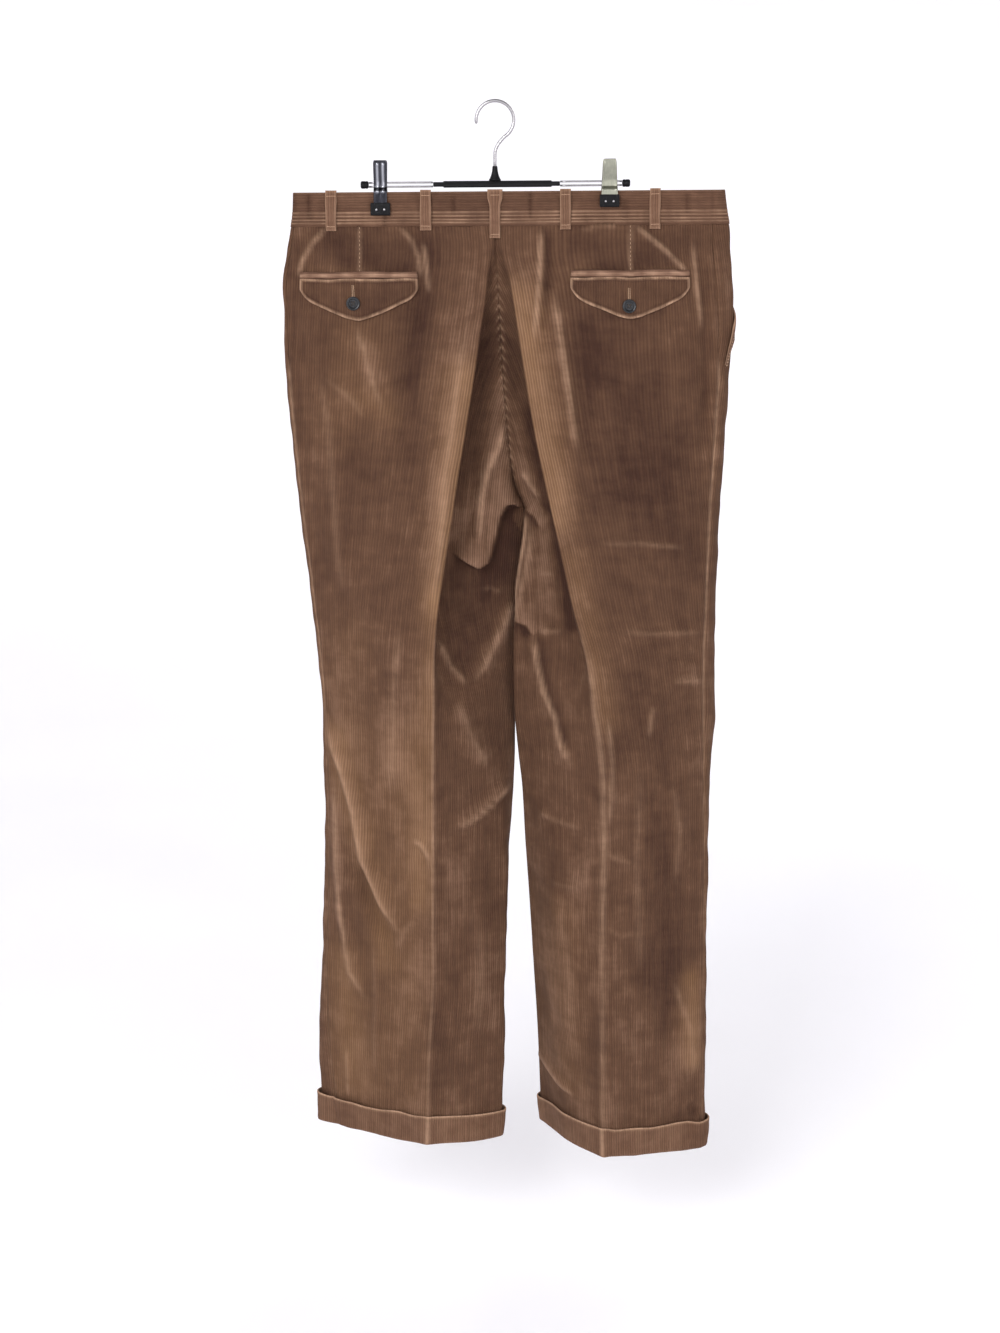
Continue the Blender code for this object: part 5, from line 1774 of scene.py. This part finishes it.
@dataclass
class BackPockets(Part):
    """A piped opening under a pointed flap with a button, on each side of the seat."""

    drop: float = 91.0
    jet_height: float = 7.0
    lift: float = WALL / 2 + 0.6 + TRIM_WALL / 2     # how far the flaps lie off the cloth's middle
    flaps: dict[Side, tuple[float, float]] = field(default_factory=lambda: {
        # X of the middle, and half the width
        LEFT: (-146.7, 63.0), RIGHT: (145.2, 64.0)})
    depths: Path = (
        # depth at shares of the half width from the middle
        (0.0, 45.0), (0.2, 41.6), (0.4, 36.5), (0.62, 30.5), (0.83, 24.0), (0.93, 18.5), (0.985, 12.0), (1.06, 3.0))
    darts: dict[Side, float] = field(default_factory=lambda: {LEFT: -145.0, RIGHT: 145.0})
    buttons: dict[Side, tuple[float, float]] = field(default_factory=lambda: {
        LEFT: (-152.5, 117.0), RIGHT: (144.0, 122.0)})
    button_profile: Path = ((4.3, 1.2), (4.9, 1.5), (5.6, 2.1), (6.5, 2.45), (7.1, 2.2), (7.4, 1.5), (7.2, 0.7),
                            (6.2, 0.1), (4.3, 0.1))
    button_middle: float = 4.7   # radius of the sunk middle
    hole: float = 0.85
    hole_offset: float = 1.55

    def build(self) -> None:
        """Make jets, flaps and buttons."""
        for side in Side:
            self.flap(side)
            self.jet(side)
            self.button(side)

    def flap(self, side: Side) -> None:
        """A pointed flap with a raised rim.

        Args:
            side: which pocket.
        """
        middle, half = self.flaps[side]
        u = spread(-1.0, 1.0, (0.01,), 0.03, 67)
        v = spread(0.0, 1.0, (0.02,), 0.06, 22)[:, None]
        shares, depths = zip(*self.depths)
        near = np.abs(u[:, None] + np.linspace(-0.045, 0.045, 7))
        depth = np.interp(near, shares, depths).mean(-1)
        inset = np.minimum(np.minimum(v * depth, (1.0 - v) * depth * 0.9), (1.0 - np.abs(u)) * half)
        rim = 0.75 * bell(inset - 1.7, 1.2) - 0.3 * bell(inset - 4.2, 1.0)
        free = 0.9 * v * (0.5 + 0.5 * np.sin(5.1 * u + 1.3 * side.out)) + 0.5 * v * v
        sway = 0.5 * np.sin(u * 7.0 + side.out) * (1.0 - v)
        grid = self.cloth.over(side, OUT, middle + u * half, self.drop + v * depth + sway, self.lift + rim + free)
        wear = (0.58 + 0.16 * np.sin(0.37 * grid[..., 0] + side.out)) * bell(inset - 1.0, 1.15)
        # painted shade: the flap is painted darker in the groove inside its raised rim
        tone = -0.22 - 0.1 * np.abs(u) - 0.25 * bell(inset - 4.3, 1.0)
        self.add(f"flap_{side.value}", "corduroy", grid, grid_normals(grid, BACKWARD), TRIM_WALL,
                 (grid[..., 0], grid[..., 2]), [self.finishes.panel], (tone, 0.0, wear))

    def jet(self, side: Side) -> None:
        """The piped edge above a flap.

        Args:
            side: which pocket.
        """
        middle, half = self.flaps[side]
        u, v = np.linspace(-1.0, 1.0, 61), np.linspace(0.0, 1.0, 11)[:, None]
        sway = 0.6 * np.sin(u * 5.3 + 2.0 * side.out) * (1.0 - v)
        swell = np.maximum(np.sin(np.pi * v), 0.0)
        puff = (1.3 + 0.35 * np.sin(u * 19.0)) * swell ** 0.7 * (1.0 - np.abs(u) ** 14)
        grid = self.cloth.over(side, OUT, middle + u * half, self.drop - GAP - self.jet_height * (1.0 - v) + sway,
                               self.lift - 0.35 + puff)
        # the piping is painted lighter where it bulges out most: rubbed pile, and a painted highlight
        wear = (0.28 + 0.14 * np.sin(0.23 * grid[..., 0])) * swell ** 3
        self.add(f"jet_{side.value}", "trim_corduroy", grid, grid_normals(grid, BACKWARD), TRIM_WALL,
                 (grid[..., 2], grid[..., 0]), [self.finishes.trim], (0.3 * swell ** 2 - 0.1, 0.0, wear))

    def button(self, side: Side) -> None:
        """A four-hole button with a raised rim, sewn on with crossed thread.

        Args:
            side: which pocket.
        """
        x, drop = self.buttons[side]
        point, normal = self.cloth.spot(side, OUT, x, drop)
        foot = to_frame(point + normal * (self.lift + TRIM_WALL / 2 + GAP + 0.6))
        out = unit(normal * (1.0, 1.0, -1.0))
        over = unit(np.cross(np.array([0.0, 0.0, 1.0]), out))
        up = np.cross(out, over)
        rings = foot + lathe(self.button_profile, (0.0, 0.0, 0.0), over, up, out, 48).transpose(1, 0, 2) * MM
        rim = skin("button rim", rings, self.finishes.button, endless=True)
        name, material = f"button_{side.value}", self.finishes.button
        self.pieces[name] = settle(join(name + "_resin", [rim, self.plate(foot, out, over, up)], material),
                                   "button", name)
        runs = []
        for sign in (-1.0, 1.0):
            start, end = (foot + (over + up * sign) * way * self.hole_offset * MM for way in (-1.0, 1.0))
            t = np.linspace(0.0, 1.0, 9)[:, None]
            bend = (1.35 + 0.45 * np.sin(np.pi * t)) * MM
            rings = tube_rings(start * (1 - t) + end * t + out * bend, 0.42 * MM, 8)
            runs.append(skin("thread run", rings, self.finishes.dark_thread))
        settle(join(f"button_thread_{side.value}", runs, self.finishes.dark_thread), "button")

    def plate(self, foot: Array, out: Array, over: Array, up: Array) -> Piece:
        """The button's middle, pierced by four holes.

        Args:
            foot: foot of the button.
            out: its axis.
            over: first axis across it.
            up: second axis across it.

        Returns:
            The piece.
        """
        curve = bpy.data.curves.new("button middle", "CURVE")
        curve.dimensions, curve.fill_mode = "2D", "BOTH"
        curve.extrude, curve.bevel_depth, curve.bevel_resolution = 0.35 * MM, 0.12 * MM, 1
        circles = [(0.0, 0.0, self.button_middle, 40)]
        circles += [(sx * self.hole_offset, sy * self.hole_offset, self.hole, 12) for sx in (-1, 1) for sy in (-1, 1)]
        for cx, cy, radius, steps in circles:
            spline = curve.splines.new("POLY")
            spline.points.add(steps - 1)
            spline.use_cyclic_u = True
            for knot, angle in zip(spline.points, turns(steps)):
                knot.co = ((cx + radius * math.cos(angle)) * MM, (cy + radius * math.sin(angle)) * MM, 0.0, 1.0)
        holder = link("button middle", curve)
        bpy.context.view_layer.update()
        data = bpy.data.meshes.new_from_object(holder.evaluated_get(bpy.context.evaluated_depsgraph_get()))
        bpy.data.objects.remove(holder, do_unlink=True)
        for vertex in data.vertices:
            x, y, z = vertex.co
            vertex.co = Vector(foot + over * x + up * y + out * (z + 0.75 * MM))
        weld(data)
        return link("button middle", data)

    def buttonholes(self) -> list[Array]:
        """Two close rows of stitches for each buttonhole.

        Returns:
            Points of each line, in metres.
        """
        step = np.linspace(0.0, 1.0, 12)
        lift = self.lift + TRIM_WALL / 2 + 0.75 + 0.3 * step
        return [to_frame(self.cloth.over(side, OUT, self.buttons[side][0] + shift,
                                         self.buttons[side][1] - 19.0 + 17.0 * step, lift))
                for side in Side for shift in (-0.9, 0.9)]

    def dart_lines(self) -> list[Array]:
        """The darts from the band down to the pockets.

        Returns:
            Points of each line, in metres.
        """
        drops = np.linspace(38.0, self.drop - self.jet_height - 2.0, 16)
        return [to_frame(self.cloth.over(side, OUT, self.darts[side], drops, WALL / 2 + 0.15)) for side in Side]


@dataclass
class FrontDetails(Part):
    """The slanted edges of the side pockets, and the fly."""

    top: tuple[float, float] = (40.0, 44.0)          # drop, and distance forward from the side seam
    feet: dict[Side, tuple[float, float]] = field(default_factory=lambda: {LEFT: (186.0, 16.0), RIGHT: (186.0, 6.0)})
    edge_width: float = 8.0
    edge_lift: float = WALL / 2 + 1.0
    fly_width: float = 38.0
    fly_drops: tuple[float, float] = (38.0, 205.0)
    fly_round: float = 34.0      # height over which its foot rounds off
    fly_lift: float = WALL / 2 + 0.75

    def build(self) -> None:
        """Make the pocket edges and the fly."""
        for side in Side:
            self.pocket_edge(side)
        self.fly()

    def edge_grid(self, side: Side, widths: Array, steps: int, lift: float) -> Array:
        """Points along a pocket edge, which tapers at its foot.

        Args:
            side: which pocket.
            widths: distances forward from its rear line.
            steps: points along it.
            lift: how far it stands off the cloth's middle.

        Returns:
            Points by step and width.
        """
        top, far = self.top
        foot, near = self.feet[side]
        rows = []
        for t in np.linspace(0.0, 1.0, steps):
            drop, reach = top + (foot - top) * t, far + (near - far) * t
            line = []
            for width in widths * (1.0 - 0.6 * float(ease((t - 0.7) / 0.3))):
                point, normal = self.cloth.beside(side, reach + width, drop)
                line.append(point + normal * (lift + 0.7 * bell(width - 1.6, 1.4)))
            rows.append(line)
        return np.array(rows)

    def pocket_edge(self, side: Side) -> None:
        """One slanted pocket edge.

        Args:
            side: which pocket.
        """
        widths = np.concatenate([[0.0, 0.3], np.linspace(0.9, self.edge_width - 0.6, 10), [self.edge_width]])
        grid = self.edge_grid(side, widths, 60, self.edge_lift + TRIM_WALL / 2)
        self.add(f"pocket_edge_{side.value}", "trim_corduroy", grid, grid_normals(grid, FORWARD), TRIM_WALL,
                 (widths, grid[..., 2]), [self.finishes.trim], (-0.35, 0.0, 0.45 * bell(widths, 1.6)))

    def over_fly(self, drop: float, away: Array, lift: float) -> Array:
        """Points over the front, at distances from the centre front seam.

        Args:
            drop: their drop.
            away: distances from the seam.
            lift: distance off the cloth's middle.

        Returns:
            The points, in millimetres.
        """
        centre = SEAT.at(np.array([drop]))["front_x"][0]
        return self.cloth.over(LEFT, FRONT_IN, centre - away, drop, lift)

    def fly(self) -> None:
        """The fly's outer placket, rounded at its foot."""
        top, foot = self.fly_drops
        rows = []
        for drop in [top, top + 0.5, *np.linspace(top + 3.0, foot - 1.0, 54), foot]:
            bend = max(0.0, (drop - (foot - self.fly_round)) / self.fly_round)
            width = self.fly_width * math.sqrt(max(0.02, 1.0 - bend ** 2.4))
            rows.append(self.over_fly(drop, 1.0 + width * spread(0.0, 1.0, (0.02,), 0.07, 18),
                                      self.fly_lift + TRIM_WALL / 2))
        grid = np.array(rows)
        walk = Cloth.walk(grid)
        wear = 0.7 * bell(walk, 1.4) + 0.3 * bell(walk - walk[:, -1:], 1.4)
        self.add("fly", "corduroy", grid, grid_normals(grid, FORWARD), TRIM_WALL,
                 (grid[..., 0] + 0.03 * grid[..., 2], grid[..., 2]), [self.finishes.panel], (0.05, 0.0, wear))

    def stitch_lines(self) -> list[Array]:
        """Topstitching of the pocket edges and the fly's curved line.

        Returns:
            Points of each line, in metres.
        """
        lines = [to_frame(self.edge_grid(side, np.array([width]), 50, self.edge_lift + TRIM_WALL + 0.1)[:, 0])
                 for side in Side for width in (3.4, 7.0)]
        top, foot = self.fly_drops
        for inset in (3.0, 5.6):
            line = []
            for drop in np.linspace(top, foot - 3.0 - inset, 50):
                bend = max(0.0, (drop - (foot - self.fly_round - inset)) / self.fly_round)
                width = (self.fly_width - inset) * math.sqrt(max(0.01, 1.0 - min(bend, 1.0) ** 2.4))
                line.append(self.over_fly(drop, 1.0 + width, self.fly_lift + TRIM_WALL + 0.1))
            lines.append(to_frame(np.array(line)))
        return lines


@dataclass
class Hanger:
    """A wire hanger: hook, black collar and sleeve, two pairs of wires, end caps and two sprung clips."""

    finishes: Finishes
    bar_drop: float = -7.5
    wire: float = 1.0
    spacing: float = 4.2
    sleeve_ends: tuple[float, float] = (-66.0, 69.5)
    bar_ends: dict[Side, float] = field(default_factory=lambda: {LEFT: -135.0, RIGHT: 136.0})
    hook_wire: float = 1.75
    hook_radius: float = 20.0
    hook_sweep: tuple[float, float] = (-58.0, 248.0)     # degrees where its round starts, and how far it goes
    collar_drop: float = -11.3
    collar_profile: Path = (
        # radius, and height over the sleeve
        (0.2, -0.6), (5.9, -0.6), (6.6, 0.4), (5.9, 1.4), (5.2, 2.8), (4.3, 5.0), (3.6, 7.4), (3.1, 10.0),
        (2.8, 13.0), (2.7, 14.2), (2.2, 14.9), (0.2, 14.9))
    cap_profile: Path = (
        # radius, and distance out from the wires' ends
        (0.2, 0.0), (2.6, 0.0), (3.6, 0.6), (4.0, 1.8), (4.0, 3.0), (3.75, 3.3), (3.75, 3.9), (4.0, 4.2),
        (4.0, 7.0), (3.5, 8.1), (2.4, 8.6), (0.2, 8.7))
    clip_x: float = 122.5
    clips: dict[Side, tuple[float, float, float]] = field(default_factory=lambda: {
        # drop of the jaws' top, width of the plates at the foot and at the head
        LEFT: (11.3, 14.3, 14.3), RIGHT: (4.2, 17.6, 13.4)})
    plate_head: float = -33.0    # drop of the plates' heads
    plate_wall: float = 1.1
    jaw: tuple[float, float, float] = (21.0, 4.0, 13.2)
    stud_profile: Path = ((0.05, 0.55), (0.7, 0.5), (1.1, 0.25), (1.2, 0.0), (1.2, -0.6), (0.05, -0.6))

    def build(self) -> None:
        """Make every piece of the hanger."""
        self.make_hook()
        collar = lathe(self.collar_profile, (0.0, 0.0, self.collar_drop), (1.0, 0.0, 0.0), (0.0, 0.8, 0.0),
                       (0.0, 0.0, -1.0), 32)
        self.mould("collar_moulding", collar, "hook_collar")
        self.make_sleeve()
        self.make_wires()
        for side in Side:
            self.make_clip(side)

    def mould(self, name: str, rings: Array, *nodes: str) -> None:
        """Make a piece of black plastic from rings in millimetres."""
        settle(skin(name, to_frame(rings), self.finishes.plastic), "black_plastic", *nodes)

    def make_hook(self) -> None:
        """The hook, from its foot in the collar round over the rail."""
        centre = -WAIST_BELOW_HOOK + self.hook_radius - self.hook_wire
        foot = self.collar_drop - 14.7 - GAP
        low, bend = foot - 12.0, foot - 21.0
        start, sweep = self.hook_sweep
        angles = np.radians(start + sweep * np.linspace(0.0, 1.0, 61))
        circle = np.stack([self.hook_radius * np.cos(angles), np.zeros(61),
                           centre - self.hook_radius * np.sin(angles)], -1)
        t = np.linspace(0.0, 1.0, 14)[1:-1, None]
        neck = (np.array([[0, 0, low]]) * (1 - t) ** 2 + np.array([[0, 0, bend]]) * 2 * t * (1 - t)
                + circle[:1] * t ** 2)
        straight = np.array([[0.0, 0.0, foot + 2.0], [0.0, 0.0, foot - 4.0], [0.0, 0.0, low]])
        path = to_frame(np.concatenate([straight, neck, circle]))
        radius = np.full(len(path), self.hook_wire)
        radius[-2:] = 1.5, 0.9       # the wire's tip is rounded
        settle(skin("hook_wire", tube_rings(path, radius * MM, 20), self.finishes.wire), "bright_wire", "hook")

    def make_sleeve(self) -> None:
        """The black sleeve with a groove along its middle and stepped ends."""
        left, right = self.sleeve_ends
        x = np.concatenate([[left, left + 0.5, left + 10.5, left + 11.5], np.linspace(left + 14, right - 12, 30),
                            [right - 9.5, right - 8.5, right - 0.5, right]])
        tall = np.where((x < left + 11.0) | (x > right - 9.0), 2.5, 3.5)
        tall[[0, -1]] = 1.9
        c, s = squared(48, 0.45)
        groove = 0.8 * bell(s, 0.28) * np.sign(c)
        tall = tall[:, None]
        self.mould("sleeve_moulding", np.stack(np.broadcast_arrays(
            x[:, None], 2.2 * c - np.where(tall > 3.0, groove, 0.0), self.bar_drop + tall * s), -1), "sleeve")

    def make_wires(self) -> None:
        """Four straight wires and the caps on their ends."""
        number = 1
        for side, start in zip(Side, self.sleeve_ends):
            end = self.bar_ends[side]
            for offset in (-self.spacing / 2, self.spacing / 2):
                x = np.linspace(start + GAP * side.out, end - GAP * side.out, 12)
                path = to_frame(np.stack(np.broadcast_arrays(x, 0.0, self.bar_drop + offset), -1))
                wire = skin(f"bar_wire_{number}", tube_rings(path, self.wire * MM), self.finishes.wire)
                settle(wire, "bright_wire", f"wire_{number}")
                number += 1
            rings = lathe(self.cap_profile, (end, 0.0, self.bar_drop), FORWARD, (0.0, 0.0, 1.0),
                          (side.out, 0.0, 0.0), 28)
            self.mould(f"cap_moulding_{side.value}", rings, f"cap_{side.value}")

    def make_clip(self, side: Side) -> None:
        """One clip: two sprung plates, each with a moulded jaw.

        Args:
            side: which clip.
        """
        jaw_top, foot_width, head_width = self.clips[side]
        x = side.out * self.clip_x
        dark = side is LEFT
        plate, slot = ((self.finishes.dark_plate, "dark_clip") if dark
                       else (self.finishes.satin_plate, "satin_clip"))
        pinch = self.wire + GAP + 0.6
        for part, way in (("back", -1.0), ("front", 1.0)):
            # as far from the wires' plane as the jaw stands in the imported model
            low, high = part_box(f"jaw_{side.value}_{part}")
            grip = abs(low.y + high.y) / 2 / MM
            knots = np.array([(self.plate_head, 8.5), (-25.0, 7.2), (-17.0, 4.4), (-11.5, pinch), (-4.2, pinch),
                              (-1.2, grip), (jaw_top + 1.0, grip)])
            walk = np.concatenate([[0.0], np.cumsum(np.linalg.norm(np.diff(knots, axis=0), axis=1))])
            at = np.linspace(0.0, walk[-1], 46)
            drop, y = (np.interp(at, walk, knots[:, k]) for k in (0, 1))
            for _ in range(2):
                y[1:-1] = (y[:-2] + 2 * y[1:-1] + y[2:]) / 4
            across = spread(-1.0, 1.0, (0.04,), 0.12, 27)
            share = (drop - self.plate_head) / (jaw_top - self.plate_head)
            half = (head_width + (foot_width - head_width) * share) / 2
            half[:3] -= (0.9, 0.35, 0.1)
            rib = self.ribs(side, across, drop)
            grid = np.stack(np.broadcast_arrays(x + half[:, None] * across, way * (y[:, None] + rib),
                                                drop[:, None]), -1)
            name = f"clip_{side.value}_{part}"
            # painted highlight: the dark clip's ribs are painted bright through the wear attribute
            wear = {"wear": np.clip(rib / 0.85, 0.0, 1.0) * dark}
            settle(shell(name + "_plate", grid, grid_normals(grid, way * FORWARD), self.plate_wall,
                         grid[..., [0, 2]] * MM, [plate], wear, rim=0.6), slot, name)
            self.make_jaw(f"{side.value}_{part}", way, x, grip, jaw_top + self.jaw[2] / 2)
            if way < 0.0:
                self.make_studs(side, x, grip + self.jaw[1] / 2, jaw_top + self.jaw[2] / 2 + 0.5)

    @staticmethod
    def ribs(side: Side, across: Array, drop: Array) -> Array:
        """How far a plate's pressed ribs stand out.

        Args:
            side: which clip.
            across: places across the plate, -1 to 1.
            drop: drops along it.

        Returns:
            Millimetres by drop and place.
        """
        long = window(drop, -31.0, 3.0, 2.0, 3.0)[:, None]
        if side is LEFT:
            return 0.85 * (bell(across + 0.42, 0.15) + bell(across - 0.42, 0.15)) * long
        return 0.7 * bell(np.abs(across) - 0.86, 0.12) * long

    def make_jaw(self, place: str, way: float, x: float, grip: float, middle: float) -> None:
        """One moulded jaw with grooved ends.

        Args:
            place: the clip's side, and back or front.
            way: which way it faces along Y.
            x: its middle.
            grip: how far its middle stands from the wires' plane.
            middle: drop of its middle.
        """
        width, thick, height = self.jaw
        share = spread(-1.0, 1.0, (0.015, 0.05), 0.14, 25)[:, None]
        narrow = np.interp(np.abs(share), [0.0, 0.95, 0.985, 1.0], [1.0, 1.0, 0.96, 0.84])
        lines = 0.28 * (bell(np.abs(share) - 0.62, 0.05) + bell(np.abs(share) - 0.42, 0.05))
        c, s = squared(32, 2.0 / 7.0)
        rings = np.stack(np.broadcast_arrays(x + share * width / 2, way * grip + (thick / 2 * narrow - lines) * c,
                                             middle - height / 2 * narrow * s), -1)
        self.mould(f"jaw_{place}_moulding", rings, f"jaw_{place}")

    def make_studs(self, side: Side, x: float, face: float, drop: float) -> None:
        """The two studs in a clip's rear jaw.

        Args:
            side: which clip.
            x: the jaw's middle.
            face: how far its face stands behind the wires' plane.
            drop: the studs' drop.
        """
        for number, shift in enumerate((-4.2, 4.2), 1):
            rings = lathe(self.stud_profile, (x + shift, -face, drop), (1.0, 0.0, 0.0), (0.0, 0.0, 1.0), BACKWARD, 14)
            settle(skin(f"stud_{side.value}_{number}", to_frame(rings), self.finishes.wire), "bright_wire")


@dataclass
class Studio:
    """Round pale floor that sweeps up all round, soft lights and the camera."""

    floor_z: float = -1.30
    floor_reach: float = 3.1     # radius of its flat part
    bend: float = 0.8            # radius of the sweep
    wall_height: float = 3.6
    sides: int = 96
    lamps: tuple[tuple[str, tuple[float, float, float], float, float, float], ...] = (
        # name, place, height that it points at, side in metres and power in watts
        ("window", (-1.3, -2.9, 1.0), -0.6, 1.5, 72.0), ("fill", (1.6, -2.8, 0.2), -0.7, 2.0, 22.0),
        ("rear window", (1.5, 2.9, 1.2), -0.6, 1.5, 30.0))
    air: tuple[str, float] = ("#FBFAFC", 0.35)       # colour and strength of the light all round
    film: float = 36.0
    lens: float = 2144.0 * 36.0 / 1333.0
    eye: tuple[float, float, float] = (0.0054, -2.35, -0.092)
    dip: float = 12.5            # degrees that the camera looks down
    far: float = 50.0

    def build(self) -> None:
        """Set the stage, the lights and the camera."""
        self.sweep()
        for name, place, aim, size, power in self.lamps:
            lamp = bpy.data.lights.new(name, "AREA")
            lamp.size, lamp.energy = size, power
            holder = link(name, lamp)
            holder.visible_camera = False
            holder.location = place
            holder.rotation_euler = (Vector((0.0, 0.0, aim)) - Vector(place)).to_track_quat("-Z", "Y").to_euler()
        world = bpy.data.worlds.new("studio air")
        world.use_nodes = True
        colour, strength = world.node_tree.nodes["Background"].inputs[:2]
        colour.default_value, strength.default_value = linear(self.air[0]), self.air[1]
        bpy.context.scene.world = world
        bpy.context.scene.view_settings.view_transform = "Standard"
        camera = link("camera", bpy.data.cameras.new("camera"))
        camera.data.sensor_width, camera.data.lens, camera.data.clip_end = self.film, self.lens, self.far
        camera.location = self.eye
        camera.rotation_euler = (math.radians(90.0 - self.dip), 0.0, 0.0)
        bpy.context.scene.camera = camera

    def sweep(self) -> Piece:
        """The paper floor and walls.

        Returns:
            The object.
        """
        rise = np.linspace(0.0, math.pi / 2, 14)
        reach = np.append(self.floor_reach + self.bend * np.sin(rise), self.floor_reach + self.bend)[:, None]
        height = np.append(self.bend * (1.0 - np.cos(rise)), self.wall_height)[:, None]
        turn = turns(self.sides)
        points = np.stack(np.broadcast_arrays(reach * np.cos(turn), reach * np.sin(turn), self.floor_z + height), -1)
        faces = [tuple(range(self.sides))]
        faces += [face[::-1] for face in ring_faces(len(reach), self.sides)]
        paper, tree = start_material("pale paper sweep", Specular_IOR_Level=0.1, Emission_Color=linear("#F4F2F6"),
                                     Emission_Strength=0.26)
        place = add_node(tree, "ShaderNodeTexCoord", output="Object")
        grain = add_node(tree, NOISE, {"Vector": place, "Scale": 3.0, "Detail": 4.0})
        colour = add_node(tree, MIX, {0: grain, 6: linear("#E4E3E6"), 7: linear("#EDEDEF")}, **BLEND)
        close_material(tree, colour, (grain, *MATT), None)
        return finish_mesh("paper_sweep", points.reshape(-1, 3), faces, [paper])


@dataclass
class Trousers:
    """The whole part, built in the order in which it would be sewn and hung."""

    finishes: Finishes
    cloth: Cloth

    def build(self) -> None:
        kinds = (Legs, Waistband, BeltLoops, BackPockets, FrontDetails, TurnUps)
        parts = [kind(self.cloth, self.finishes) for kind in kinds]
        for part in (*parts, Hanger(self.finishes)):
            part.build()
        _, _, loops, pockets, front, _ = parts
        sewing, thread = Stitching(), self.finishes.thread
        sewing.sew("loop_tacks", loops.tacks(), "trim_corduroy", thread, 0.8, 1.0, 0.55)
        sewing.sew("buttonholes", pockets.buttonholes(), "corduroy", thread, 0.7, 0.9, 0.8)
        sewing.sew("darts", pockets.dart_lines(), "corduroy", thread, 4.2, 2.6, 0.5)
        sewing.sew("front_topstitching", front.stitch_lines(), "trim_corduroy", thread)


def main() -> None:
    """Build the garment, its hanger and the studio."""
    logging.basicConfig(level=logging.INFO, format="%(name)s %(message)s")
    Trousers(Finishes(), Cloth(Form())).build()
    Studio().build()
    bpy.context.view_layer.update()


if __name__ == "__main__":
    main()
